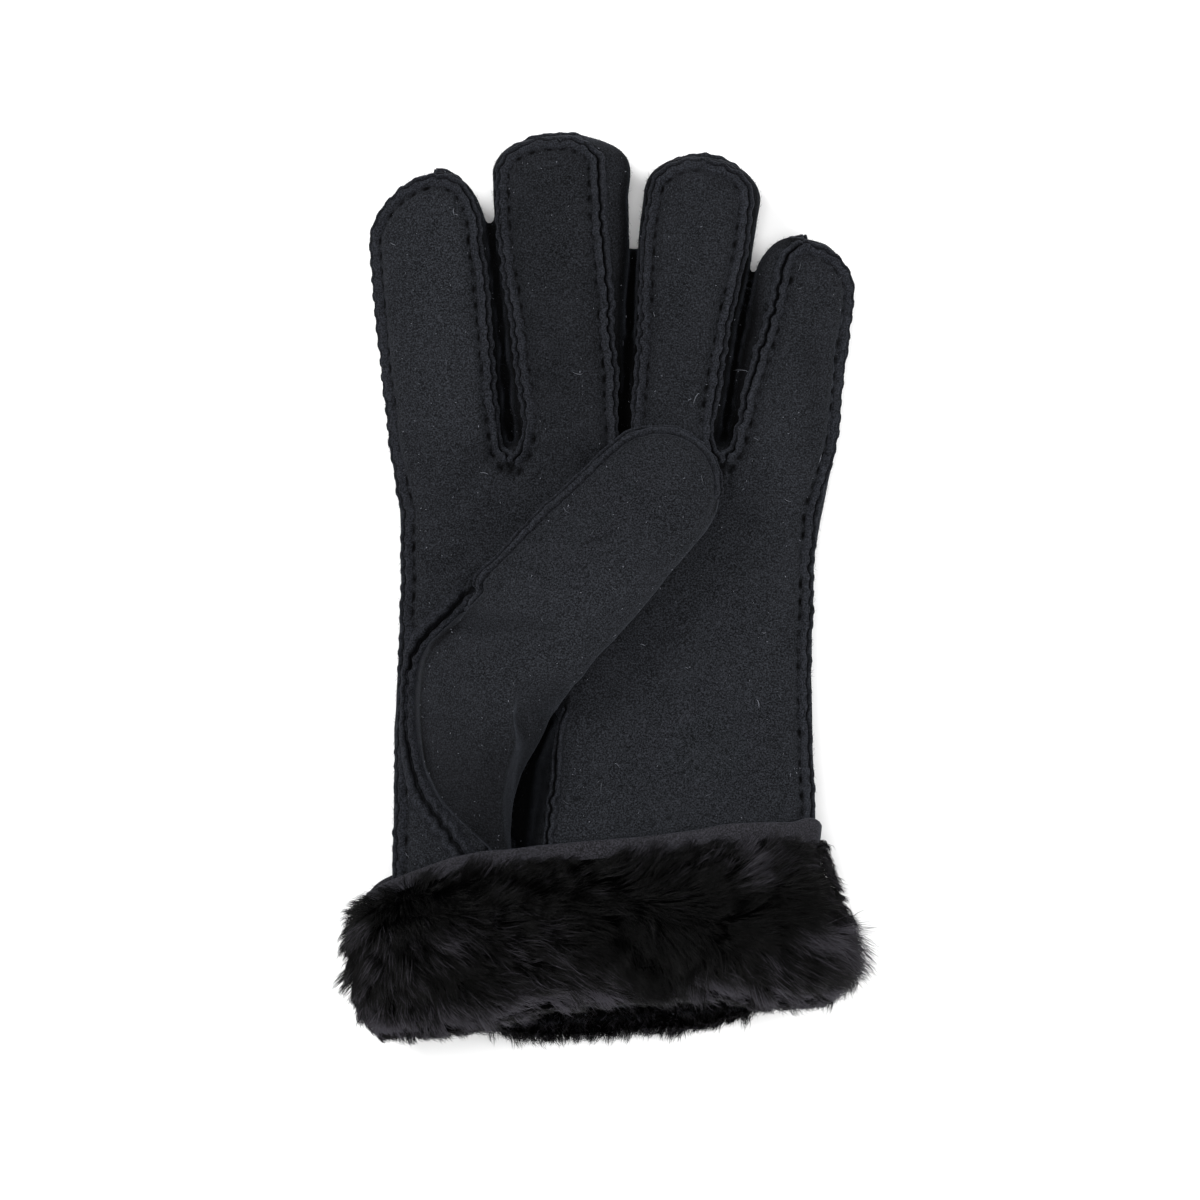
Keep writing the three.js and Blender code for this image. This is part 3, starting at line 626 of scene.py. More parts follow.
def reliefAt(points, seams, seamSide):
    # near a seam the skin dips at each stitch, swells beside the stitches, and drops at the groove; the second result
    # is painted shade in the stitch dips and down the groove
    path = np.concatenate([s["path"] for s in seams])
    side = np.concatenate([s["side"] for s in seams]) * np.repeat(seamSide, [len(s["path"]) for s in seams])[:, None]
    length = np.concatenate([s["length"] for s in seams])
    spot = nearest(points, path, chunk=2000, around=400)
    gap = points - path[spot]
    u = np.einsum("ij,ij->i", gap, side[spot])
    far = np.linalg.norm(gap, axis=1)
    beat = 0.6 + 0.4 * np.cos(2 * np.pi * length[spot] / seamForm["pitch"])
    near = smoothStep(9, 5, far)
    dip = -0.5 * smoothStep(-5.2, -2.6, u) * smoothStep(3.2, 1.9, u) - 0.55 * np.exp(-((u + 2.5) / 0.9) ** 2) * beat ** 2
    pucker = 0.5 * np.cos(2 * np.pi * length[spot] / seamForm["pitch"]) + 0.9 * softNoise(points, 4.5, 10)
    swell = 0.3 * np.exp(-((u + 6.4) / 3.2) ** 2) * (1 + pucker)
    uneven = 1.0 + 0.55 * softNoise(points, 5.5, 9)
    # painted shade: dark at each stitch dip and down the groove
    dark = 1.35 * np.exp(-((u + 2.6) / 1.05) ** 2) * beat ** 1.3 * uneven + 0.95 * np.exp(-(u / 0.9) ** 2)
    return (dip + swell) * near, dark * smoothStep(4, 2, far)


print("hand: forming")
points, quads = makeHand()
skin = {"points": points, "quads": quads, "normals": normalsOf(points, quads)}
skin["points"], inValley = dentValley(points, skin["normals"])
# the wedge between two seams at a web sinks, and the underside is pressed flat
for k in range(3):
    outline = forkOutline(k)
    inWedge = insideOf(skin["points"][:, :2], outline)
    foot = forkFoot(k)
    depth = smoothStep(0, 9, skin["points"][:, 1] - foot[1]) * smoothStep(16, 8, skin["points"][:, 1] - foot[1])
    skin["points"][:, 2] -= np.where(inWedge, 1.6 * depth * np.sign(skin["normals"][:, 2]), 0)
skin["points"] = smoothed(skin["points"], quads, 2)
skin["normals"] = normalsOf(skin["points"], quads)
print("hand:", len(quads), "quads")

seams, seamSide = [], []
for k in range(3):
    depth, leftWeb, leftTip, rightWeb, rightTip = seamForm["forks"][k]
    foot = forkFoot(k)
    for face in (1, -1):
        for finger, side, web, tip in ((k, 1, leftWeb, leftTip), (k + 1, -1, rightWeb, rightTip)):
            line = forkLine(finger, side * web, side * tip, face)
            if face > 0:
                tipPart = tipLine(finger, side, tip)
                line = np.concatenate([line[line[:, 1] < tipPart[0, 1] - 0.5], tipPart])
            start = np.array([[foot[0] - side * 0.6, foot[1], line[0, 2]]])
            over = line[-1:] - [side * seamForm["overTip"], 0, 0]
            seams.append(makeSeam(np.concatenate([start, line, over]), skin, ends=(2.5, 1.2 if face > 0 else 0.3)))
            seamSide.append(side * face)
for k, side in ((0, -1), (3, 1)):
    line = sideLine(k, side)
    over = line[:1] - [side * seamForm["overTip"], 0, 0]
    seams.append(makeSeam(np.concatenate([over, line]), skin, ends=(1.2, 2.5)))
    seamSide.append(-side)
handSeamCount = len(seams)
leafPath = dropped(resampled(leafLine[:leafSeamEnd], 0.7), skin)
ridgePath = dropped(resampled(ridgeLine, 0.7), skin)
seams.append(makeSeam(leafPath, skin))
seamSide.append(1)
seams.append(makeSeam(ridgePath, skin))
seamSide.append(-1)

# creases: from and to in the photograph's pixels, half width and depth in mm
creases = np.array([
    [412, 590, 470, 560, 2.6, 0.9], [420, 520, 470, 500, 3.0, 0.6], [745, 470, 812, 452, 3.0, 0.9], [690, 500, 805, 505, 3.4, 0.7],
    [400, 400, 480, 415, 3.2, 0.5], [560, 500, 610, 470, 3.2, 0.6], [600, 760, 800, 740, 4.0, 0.5], [640, 690, 800, 650, 4.0, 0.45],
    [530, 300, 590, 292, 3.2, 0.5], [655, 300, 715, 312, 3.2, 0.5], [390, 300, 460, 292, 3.2, 0.45], [765, 350, 835, 362, 2.8, 0.55],
])


def creaseAt(points):
    # each crease is depth * exp(-(off / half width)^2) * exp(-(along beyond its half length)^2), off a wavering line
    total = np.zeros(len(points))
    start, end = traced(creases[:, :2]), traced(creases[:, 2:4])
    for a, b, (width, depth) in zip(start, end, creases[:, 4:]):
        way = (b - a) / np.linalg.norm(b - a)
        gap = points[:, :2] - (a + b) / 2
        along = gap @ way
        off = gap @ np.array([-way[1], way[0]]) + 1.4 * softNoise(points, 9, 4)
        beyond = along / (np.linalg.norm(b - a) / 2)
        total += depth * np.exp(-(off / width) ** 2 - beyond ** 4)
    return total


spread = skin["points"]
relief, skin["dark"] = reliefAt(spread, seams, seamSide)
relief += 0.5 * softNoise(spread, 21, 1) + 0.26 * softNoise(spread, 8, 2) + 0.1 * softNoise(spread, 3.2, 3)
relief -= creaseAt(spread) * smoothStep(0.2, 0.7, skin["normals"][:, 2])
relief *= smoothStep(0.6, 3.5, spread[:, 2])
skin["points"] = spread + skin["normals"] * relief[:, None]
skin["points"][:, 2] = np.maximum(skin["points"][:, 2], 0)
skin["normals"] = normalsOf(skin["points"], quads)

# painted shade in the valley beside the thumb and low on the walls between the fingers; and a little darker all over,
# except on the index finger, and more on the middle finger
x, y, z = skin["points"].T
between = smoothStep(34, 42, y) * smoothStep(-49, -42, x) * smoothStep(60, 53, x)
sides = smoothStep(21.5, 15.5, z) * between * (z > 2)
middleFinger = smoothStep(-27, -22, x) * smoothStep(10, 4, x)
region = 0.08 + smoothStep(25, 60, y) * np.where(x < -25, -0.08, 0.08 + 0.12 * middleFinger)
skin["dark"] = np.clip(np.maximum(skin["dark"], region + 0.9 * sides + 0.85 * smoothStep(0.05, 0.5, inValley)), 0, 1)
print("hand: seams and relief")

# The panels: each takes its share of the skin's faces
centres = skin["points"][quads].mean(1)
faceUp = skin["normals"][quads].mean(1)[:, 2]
home = np.full(len(quads), "palm_panel", dtype=object)
levelAt = np.interp(centres[:, 1], [-114, -62, -38, 39, 122], [16.3, 13.9, 11.6, 11.3, 12.6])
outside = np.abs(centres[:, 0]) > 44
home[(centres[:, 2] < levelAt + 3.5) & (outside | (faceUp < 0))] = "back_panel"
for k in range(3):
    home[insideOf(centres[:, :2], forkOutline(k))] = seamForm["forkNames"][k]
leafWay = unit(np.gradient(leafLine, axis=0))
leafInwards = np.stack([-leafWay[:, 1], leafWay[:, 0]], -1)
rimIn = 6.5 + 6 * smoothStep(-50, -64, leafLine[:, 1])[:, None]
rim = np.concatenate([leafLine + rimIn * leafInwards, thumbFold[::-1] - [4, 0]])
home[insideOf(centres[:, :2], rim) & (faceUp > 0.25) & (home == "palm_panel")] = ""
foldLevel = handForm["webLevel"] - handForm["palmLength"]
turned = centres[:, 1] + centres[:, 0] * np.tan(np.radians(handForm["cuffTurn"])) * -1
behindRoll = 7 * np.exp(-((centres[:, 0] - 6) / 32) ** 4) * (faceUp > -0.2) * (centres[:, 2] > 14)
home[turned < foldLevel + 0.4 + behindRoll] = ""


def partOf(skin, chosen):
    # the chosen faces with only the points that they use, and how dark they are
    faces = skin["quads"][chosen]
    used, numbers = np.unique(faces, return_inverse=True)
    return (skin["points"][used], [numbers.reshape(faces.shape)]), skin["dark"][used]


# each panel's painted shade goes into the fold attribute
for name in ["palm_panel", "back_panel", *seamForm["forkNames"]]:
    body, dark = partOf(skin, home == name)
    addPiece("skin_" + name, body, suede, [name], tone=dark, toneName="fold", wall=handForm["wall"])
print("hand: panels")

# The thumb: sections swing round the fold line from the hole's rim to the tube across the palm
thumbForm = {
    "width": 38, "thickness": 21, "rest": 0.8, "baseWidth": 38.5, "baseLength": 53, "reach": 78,
    "fold": (-25.6, -19.4), "rimIn": 1.0, "rimUnder": 3.5, "leafShows": 3.2, "cap": 17, "capPower": 2.1, "skinStep": 0.95,
    "slope": (22.8, 21, 30, 1.6),  # mm over the floor at the leaf seam, mm of rise, mm that it takes, and its power
}
# sink, reach, heading, pitch, width, depth, size, rim and how square the section is
thumbRows = np.array([
    [1, 0, 79, 90, 0, 0, 1, 1, 1.9],
    [0.15, 0.004, 79, 90, 0, 0, 1, 1, 1.9],
    [0, 0.012, 77, 79, 0, 0.08, 1, 0.98, 1.9],
    [0, 0.025, 71, 67, 0.1, 0.38, 1, 0.85, 1.9],
    [0, 0.045, 62, 50, 0.4, 0.72, 1, 0.6, 1.95],
    [0, 0.075, 54, 26, 0.8, 0.93, 1, 0.25, 2.05],
    [0, 0.13, 47, 0, 1, 1, 1.02, 0, 2.2],
    [0, 0.45, 47, 0, 1, 1, 0.98, 0, 2.25],
    [0, 0.76, 47, 0, 1, 1, 0.9, 0, 2.25],
    [0, 1, 47, 0, 1, 1, 0.87, 0, 2.25],
])


def thumbPlace(t):
    # the rows are read at t, where whole numbers are rows; the fold moves along each row's heading
    form, rows = thumbForm, thumbRows
    step = np.diff(rows[:, 1], prepend=0) * form["reach"]
    turn = np.radians(rows[:, 2])
    foldX = form["fold"][0] + np.cumsum(step * np.cos(turn))
    foldY = form["fold"][1] + np.cumsum(step * np.sin(turn))
    number = np.arange(len(rows))
    sink, reach, heading, pitch, width, depth, size, rimShare, power = (np.interp(t, number, column) for column in rows.T)
    top = handForm["palmThickness"] - handForm["floorPress"] + form["rest"]
    middle = handForm["palmThickness"] / 2
    half = (form["baseWidth"] + (form["width"] - form["baseWidth"]) * width) / 2
    rise = (form["baseLength"] + (form["thickness"] - form["baseLength"]) * depth) / 2
    u = np.clip((reach * form["reach"] - form["reach"] + form["cap"]) / form["cap"], 0, 1)
    size = size * np.sqrt(np.maximum(1 - u ** form["capPower"], 0))
    centre = np.stack([np.interp(t, number, foldX), np.interp(t, number, foldY), top + (middle - top) * sink], -1)
    place = section(centre, heading, pitch, half * size, rise * size)
    place["centre"] = centre + place["up"] * rise[:, None]
    return place, rimShare, power


def makeThumb():
    # each ring of the fan is moved by a falling share of the way from the fan's base ring to the hole's real rim
    turns = np.linspace(0, 2 * np.pi, 96, endpoint=False)
    reach = 1 - thumbForm["cap"] / thumbForm["reach"]
    capStart = 8 + (reach - 0.76) / 0.24
    t = np.concatenate([np.linspace(0, 8, 90), capStart + (9 - capStart) * np.sin(np.linspace(0, np.pi / 2 - 0.04, 20))])
    t = np.unique(t)
    place, rimShare, power = thumbPlace(t)
    rings = ringsOf(place, turns, power[:, None])
    base, _, basePower = thumbPlace(np.array([1.0]))
    ring = ringsOf(base, turns, basePower[:, None])[0]
    leafEdge = leafLine + thumbForm["rimIn"] * leafInwards
    under = thumbFold[::-1] - [thumbForm["rimUnder"], 0]
    outline = resampled(np.concatenate([leafEdge, under, leafEdge[:1]]), 1)
    outline = dropped(outline, skin)
    local = outline - base["centre"]
    a = local @ base["across"][0] / base["half"]
    b = local @ base["up"][0] / base["rise"]
    spin = np.arctan2(np.sign(b) * np.abs(b) ** (basePower / 2), np.sign(a) * np.abs(a) ** (basePower / 2)) % (2 * np.pi)
    order = np.argsort(spin)
    real = np.stack([np.interp(turns, spin[order], outline[order, j], period=2 * np.pi) for j in range(3)], -1)
    shift = real - ring
    shift[:, 2] -= 0.8
    rings = rings + shift[None] * rimShare[:, None, None]
    points, quads = remeshed(closedTube(rings), thumbForm["skinStep"])
    return smoothed(points, quads, 8), quads


def shapeThumbRoot(points):
    # in each millimetre of Y, the upper right side is moved so that its edge meets the fold line over the valley
    y = points[:, 1]
    level = np.arange(-84, 0)
    bins = np.clip(np.round(y).astype(int) + 84, 0, len(level) - 1)
    high = points[:, 2] > 24
    right = np.full(len(level), -1e9)
    np.maximum.at(right, bins[high], points[high, 0])
    known = right > -1e8
    right = np.interp(level, level[known], right[known])
    right = np.convolve(np.pad(right, 3, "edge"), np.ones(7) / 7, "valid")
    edge = np.interp(y, level, right)
    middle = edge - 24
    target = np.interp(-y, -thumbSide[:, 1], thumbSide[:, 0]) + 0.3
    near = smoothStep(-20, -30, y)
    tall = smoothStep(15, 23, points[:, 2])
    moved = points.copy()
    moved[:, 0] += (target - edge) * near * tall * smoothStep(0, 1, (points[:, 0] - middle) / np.maximum(edge - middle, 1))
    # and the upper left side is moved in, so that the leaf seam shows
    left = np.full(len(level), 1e9)
    np.minimum.at(left, bins[high], points[high, 0])
    known = left < 1e8
    left = np.interp(level, level[known], left[known])
    start = np.interp(y, level, np.convolve(np.pad(left, 3, "edge"), np.ones(7) / 7, "valid"))
    target = np.interp(-y, -leafLine[:, 1], leafLine[:, 0]) + thumbForm["leafShows"]
    push = np.maximum(target - start, 0) * smoothStep(3, -2, y) * tall
    moved[:, 0] += push * smoothStep(0, 1, (start + 16 - points[:, 0]) / 16)
    # over the leaf the top stays under foot + rise * (1 - (1 - distance / reach)^power), with the distance from its seam
    edge = resampled(leafLine, 0.7)
    flat = np.concatenate([edge, np.zeros((len(edge), 1))], 1)
    query = np.concatenate([moved[:, :2], np.zeros((len(moved), 1))], 1)
    gap = np.linalg.norm(query - flat[nearest(query, flat, chunk=2000, around=400)], axis=1)
    foot, rise, reach, power = thumbForm["slope"]
    ceiling = foot + rise * (1 - (1 - np.clip(gap / reach, 0, 1)) ** power) + 1.6 * np.maximum(0, moved[:, 1] + 12)
    moved[:, 2] = np.minimum(moved[:, 2], ceiling)
    return moved


points, thumbQuads = makeThumb()
points = smoothed(shapeThumbRoot(points), thumbQuads, 22)
calm = smoothed(points, thumbQuads, 60, 0.6)
points = points + (calm - points) * (smoothStep(-10, -24, points[:, 1]) * smoothStep(16, 22, points[:, 2]))[:, None]
thumbSkin = {"points": points, "quads": thumbQuads, "normals": normalsOf(points, thumbQuads)}


def thumbLine():
    # along the thumb's upper-left side, over the tip and back a little on the other side
    power = handForm["fingerPower"]
    up = np.linspace(5.2, 8.985, 120)
    left = thumbPlace(up)[0]
    right = thumbPlace(np.linspace(8.985, 8.55, 30))[0]
    lean = np.radians(15)
    a = onSection(left, np.full(len(up), np.pi - lean), power)
    b = onSection(right, np.full(30, lean), power)
    start = dropped(traced([(457, 607), (465, 598)]), thumbSkin)
    a = a[a[:, 1] > start[-1, 1] + 2]
    return np.concatenate([start, a, b])


thumbSeam = makeSeam(thumbLine(), thumbSkin, 14, ends=(0.8, 2.5))
relief, thumbSkin["dark"] = reliefAt(points, [thumbSeam], [1])
relief += 0.45 * softNoise(points, 19, 5) + 0.22 * softNoise(points, 7, 6) + 0.09 * softNoise(points, 3, 7)
thumbSkin["points"] = points + thumbSkin["normals"] * relief[:, None]
thumbSkin["normals"] = normalsOf(thumbSkin["points"], thumbQuads)
# painted shade on the thumb: low down by the valley, towards the cavity at its right edge, and on the wall where it
# meets the leaf seam; also darker towards its base and a little towards its tip
low = smoothStep(22, 12, points[:, 2]) * smoothStep(-20, -30, points[:, 1]) * smoothStep(-30, -25, points[:, 0])
leafFlat = np.concatenate([resampled(leafLine, 0.7), np.zeros((len(resampled(leafLine, 0.7)), 1))], 1)
thumbFlat = points * [1, 1, 0]
leafGap = np.linalg.norm(thumbFlat - leafFlat[nearest(thumbFlat, leafFlat, chunk=2000, around=400)], axis=1)
tone = 0.04 + 0.36 * smoothStep(-22, -54, points[:, 1]) + 0.12 * smoothStep(-5, 20, points[:, 1])
edgeGap = np.interp(-points[:, 1], -thumbSide[:, 1], thumbSide[:, 0]) - points[:, 0]
tone = tone + 0.8 * low + 0.16 * smoothStep(18, 3, edgeGap) * smoothStep(-18, -50, points[:, 1])
tone = tone + (0.25 * smoothStep(6.5, 4.2, leafGap) + 0.4 * smoothStep(4.6, 3.7, leafGap)) * smoothStep(2, -10, points[:, 1])
thumbSkin["dark"] = np.clip(np.maximum(thumbSkin["dark"], tone), 0, 1)
thumbCentres = thumbSkin["points"][thumbQuads].mean(1)
floorUnder = dropped(thumbCentres[:, :2], skin)[:, 2]
outline = np.concatenate([leafLine, thumbFold[::-1]])
buried = insideOf(thumbCentres[:, :2], outline) & (thumbCentres[:, 2] < floorUnder - 1.5)
body, dark = partOf(thumbSkin, ~buried)
addPiece("skin_thumb", body, suede, ["thumb"], tone=dark, toneName="fold", wall=handForm["wall"])
print("thumb:", len(thumbQuads), "quads")

# Seam edges: two standing lips with a groove between, and the stitches beside them
lipForm = {
    # sideways from the groove, height over the skin and how dark as painted shade (in the groove and the stitch dips),
    # from the panel's side to the far side
    "across": np.array([-4.8, -3.4, -2.9, -2.5, -2.15, -1.8, -1.3, -0.85, -0.5, -0.3, 0, 0.3, 0.5, 1.0, 1.7, 2.2, 2.4, 1.4, -2.0]),
    "height": np.array([-0.8, 0.0, -0.25, -0.6, -0.2, 0.65, 1.3, 1.55, 1.2, 0.1, -0.8, 0.1, 1.1, 1.45, 1.2, 0.5, -0.9, -1.8, -1.8]),
    "dark": np.array([0.1, 0.1, 0.5, 1, 0.4, 0, 0, 0, 0.3, 1, 1, 1, 0.3, 0, 0, 0.4, 0.9, 1, 1]),
    "scallop": 0.14,
    "drawn": 0.3,  # mm that the groove is drawn towards each stitch
    "wander": 0.55,
}


def makeLips(seam, side, skin, key, wide=1.0, tall=1.0, upright=0.0):
    # the profile is carried along the seam; each point is the skin's foot under (path + side * across) raised by height
    form = lipForm
    length = seam["length"]
    beat = 2 * smoothStep(0.2, 0.7, 0.5 + 0.5 * np.cos(2 * np.pi * length / seamForm["pitch"])) - 1
    wander = form["wander"] * softNoise(seam["path"], 6.5, key) + 0.3 * softNoise(seam["path"], 2.6, key + 1)
    wander = wander - form["drawn"] * beat * (0.6 + 0.6 * softNoise(seam["path"], 9, key + 3))
    across = form["across"][None] * wide + wander[:, None]
    up = np.array([0, 0, upright])
    sideways = unit(np.cross(seam["way"], unit(seam["normal"] + up)))
    feet = seam["path"][:, None] + sideways[:, None] * (across * side)[..., None]
    foot, normal = settled(feet, skin)
    normal = unit(0.5 * normal + 0.5 * seam["normal"][:, None] + up)
    raised = np.where(form["height"] > 0, form["height"], 0)[None]
    sunk = np.where(form["height"] <= 0, form["height"], 0)[None]
    lift = 1 - form["scallop"] * (0.5 + 0.5 * beat)[:, None] + 0.22 * softNoise(foot, 3.5, key + 2)
    dimple = 0.3 + 0.7 * (0.5 + 0.5 * beat)[:, None]
    isDimple = (np.abs(form["across"] + 2.5) < 0.45)[None]
    height = raised * lift * tall + np.where(isDimple, sunk * dimple * 1.3, sunk)
    ends = smoothStep(0, seam["ends"][0], length) * smoothStep(0, seam["ends"][1], length[-1] - length)
    height = height * (0.25 + 0.75 * ends[:, None]) - 0.8 * (1 - ends[:, None])
    # painted shade along the lips from the profile's dark column, varying with each stitch at the dip and lighter at
    # the ends
    dark = form["dark"][None] * np.where(isDimple, dimple, 1) * (0.6 + 0.4 * ends[:, None])
    rings = foot + normal * height[..., None]
    rings[..., 2] = np.maximum(rings[..., 2], 0.03)
    return closedTube(rings), np.concatenate([dark.ravel(), [0.5, 0.5]])


def capsule(length, thick, sides=6):
    # rings of radius thick / 2 * sqrt(1 - x^4) along x
    x = np.array([-0.98, -0.7, 0, 0.7, 0.98])
    radius = thick / 2 * np.sqrt(1 - x ** 4)
    turn = np.linspace(0, 2 * np.pi, sides, endpoint=False)
    rings = np.stack([
        np.broadcast_to(x[:, None] * length / 2, (5, sides)), radius[:, None] * np.cos(turn), radius[:, None] * np.sin(turn)], -1)
    return closedTube(rings)


def copied(body, centres, axes):
    # the body's x, y and z along each copy's three axes
    points, faces = body
    placed = centres[:, None] + np.einsum("kj,njc->nkc", points, axes)
    start = np.arange(len(centres)) * len(points)
    many = [(group[None] + start[:, None, None]).reshape(-1, group.shape[1]) for group in faces]
    return placed.reshape(-1, 3), many


def makeStitches(seam, side, skin, key):
    # one stitch at each pitch, beside the lip, half sunk in its dimple
    pitch = seamForm["pitch"]
    at = np.arange(pitch, seam["length"][-1] - pitch / 2, pitch)
    read = lambda table: np.stack([np.interp(at, seam["length"], table[:, j]) for j in range(3)], -1)
    foot = read(seam["path"]) - side * seamForm["stitchIn"] * read(seam["side"])
    foot, normal = settled(foot, skin)
    random = np.random.default_rng(seed + key)
    way = unit(read(seam["way"]) + 0.1 * random.normal(size=foot.shape))
    way = unit(way - normal * np.einsum("ij,ij->i", way, normal)[:, None])
    axes = np.stack([way, np.cross(normal, way), normal], 1)
    centre = foot - normal * 0.5
    centre[:, 2] = np.maximum(centre[:, 2], 1.4)
    return copied(capsule(2.6, 0.7), centre, axes)


lips, paintedLipShades, stitches = [], [], []
for number, (seam, side) in enumerate(zip(seams, seamSide)):
    ridge, leaf = number == len(seams) - 1, number == len(seams) - 2
    wide, tall = (0.8, 0.9) if ridge else (1.6, 1.6) if leaf else (1, 1)
    body, fold = makeLips(seam, side, skin, 20 + 3 * number, wide, tall, 1.2 if leaf else 0)
    lips.append(body)
    paintedLipShades.append(fold)
    if not leaf:
        stitches.append(makeStitches(seam, side, skin, 60 + number))
addPiece("seam_edges_hand", joined(lips), edgeSuede, tone=np.concatenate(paintedLipShades), toneName="fold")
addPiece("seam_stitches_hand", joined(stitches), thread)
body, fold = makeLips(thumbSeam, 1, thumbSkin, 90)
addPiece("seam_edges_thumb", body, edgeSuede, tone=fold, toneName="fold")
addPiece("seam_stitches_thumb", makeStitches(thumbSeam, 1, thumbSkin, 95), thread)
print("seams:", len(seams) + 1)

fibreForm = {
    "fuzz": 15000,
    "fuzzLength": (0.6, 1.5),
    "fuzzThick": 0.07,
    "specks": 700,
    "speckLength": (0.2, 0.45),
    "threads": 70,
    "threadLength": (0.9, 2.6),
    "lintThick": 0.125,
}


def strandMesh(centre, radius):
    # three-sided tubes round the centre lines (n, k, 3), closed to a point at the tip
    way = unit(np.gradient(centre, axis=1))
    reference = np.zeros_like(way)
    reference[..., 0], reference[..., 2] = 0.31, 0.95
    a = unit(np.cross(way, reference))
    b = np.cross(way, a)
    turn = np.radians([0, 120, 240])
    ring = a[:, :, None] * np.cos(turn)[:, None] + b[:, :, None] * np.sin(turn)[:, None]
    body = (centre[:, :-1, None] + ring[:, :-1] * radius[:, :-1, None, None])
    n, k = body.shape[:2]
    points = np.concatenate([body.reshape(n, -1, 3), centre[:, -1:]], 1)
    each = k * 3 + 1
    i = np.arange(3)
    after = (i + 1) % 3
    ladder = np.arange(k - 1)[:, None] * 3
    sides = np.stack([ladder + i, ladder + after, ladder + 3 + after, ladder + 3 + i], -1).reshape(-1, 4)
    tips = np.stack([(k - 1) * 3 + i, (k - 1) * 3 + after, np.full(3, k * 3)], -1)
    foot = np.array([[2, 1, 0]])
    start = (np.arange(n) * each)[:, None, None]
    faces = [(sides[None] + start).reshape(-1, 4), (np.concatenate([tips, foot])[None] + start).reshape(-1, 3)]
    points = points.reshape(-1, 3)
    if volumeOf(points, faces) < 0:
        faces = [group[:, ::-1] for group in faces]
    return points, faces


def scatter(skins, count, random, least=-2.0):
    # random vertices of the skins, moved a little along the surface, with their normals
    points = np.concatenate([skin["points"] for skin in skins])
    normals = np.concatenate([skin["normals"] for skin in skins])
    some = random.choice(np.flatnonzero(normals[:, 2] > least), count)
    normal = normals[some]
    along = unit(np.cross(normal, random.normal(size=(count, 3))))
    return points[some] + along * random.uniform(0, 0.6, (count, 1)), normal, along


def makeFuzz(skins):
    # root + length * (s * lean way + s^2 * turn way), standing out of the nap
    random = np.random.default_rng(seed + 40)
    root, normal, along = scatter(skins, fibreForm["fuzz"], random)
    s = np.linspace(0, 1, 3)[None, :, None]
    length = random.uniform(*fibreForm["fuzzLength"], (len(root), 1, 1))
    lean = unit(0.6 * normal + along)
    turn = 0.5 * np.cross(normal, along) * random.normal(size=(len(root), 1))
    line = root[:, None] + length * (s * lean[:, None] + s ** 2 * turn[:, None])
    line[..., 2] = np.maximum(line[..., 2], 0.06)
    return strandMesh(line, np.broadcast_to(fibreForm["fuzzThick"] / 2 * np.array([1, 0.8, 0]), line.shape[:2]))


def makeLintFibres(skins):
    # short specks, and longer threads that curl on an arc in the surface: s * way + bend * s^2 * side
    random = np.random.default_rng(seed + 41)
    count = fibreForm["specks"] + fibreForm["threads"]
    root, normal, along = scatter(skins, count, random, 0.3)
    long = np.arange(count) >= fibreForm["specks"]
    length = np.where(long, random.uniform(*fibreForm["threadLength"], count), random.uniform(*fibreForm["speckLength"], count))
    s = np.linspace(0, 1, 6)[None, :, None]
    side = np.cross(normal, along)
    bend = (random.normal(size=count) * 0.7)[:, None, None]
    line = root[:, None] + length[:, None, None] * (s * along[:, None] + bend * s ** 2 * side[:, None])
    line = line + normal[:, None] * (0.12 + 0.25 * s * random.uniform(0, 1, (count, 1, 1)))
    thick = np.where(long, 0.09, fibreForm["lintThick"])[:, None] / 2 * random.uniform(0.6, 1.3, (count, 1))
    return strandMesh(line, thick * np.array([0.7, 1, 1, 1, 0.8, 0]))


addPiece("nap_fibres", makeFuzz([skin, thumbSkin]), suede)
addPiece("lint_fibres", makeLintFibres([skin, thumbSkin]), lint)
print("suede: fibres")

# The turned-up cuff
cuffForm = {
    "height": 47, "flare": 3, "flareUnder": 0.1, "droop": 0.2, "bandStand": 1.8, "woolStand": 2.1, "woolHeight": 42.3,
    "pile": 9, "pileUnder": 4.4, "turns": 260,
    "open": 1.4,  # mm that it stands off at the thumb's side
    "hug": 3.6,  # mm that the cuff lies closer to the hand at the little finger's side, up at the band
    "notch": 4.5,  # mm that the roll's lower edge is drawn up in front, so that the wool inside shows
    "tongue": 4.6,  # mm that the back reaches out below it
    "thin": 0.52,  # share of the pile that is missing at the little finger's side, next to the band
}


def cuffPoint(angle, height, stand, pile=0.0):
    # a point round the wrist, stand and pile outwards from the palm's section at that height
    form = cuffForm
    angle, height, stand, pile = np.broadcast_arrays(angle, height, stand, pile)
    droop = np.where(height > 0, 1 - form["droop"] * np.maximum(0, -np.cos(angle)) ** 3, 1)
    place = palmPlace(height * droop / handForm["palmLength"])
    flare = form["flare"] * np.maximum(0, height / form["height"])
    flare = flare - form["hug"] * smoothStep(0.72, 0.95, np.cos(angle)) * smoothStep(22, 42, height)
    flare = flare + form["open"] * smoothStep(0.8, 0.97, -np.cos(angle)) * smoothStep(22, 42, height)
    place["half"] = place["half"] + stand + flare + pile
    place["rise"] = place["rise"] + stand + flare + pile
    place["drop"] = place["drop"] + stand + flare * form["flareUnder"] + pile * form["pileUnder"] / form["pile"]
    return onSection(place, angle, handForm["palmPower"])


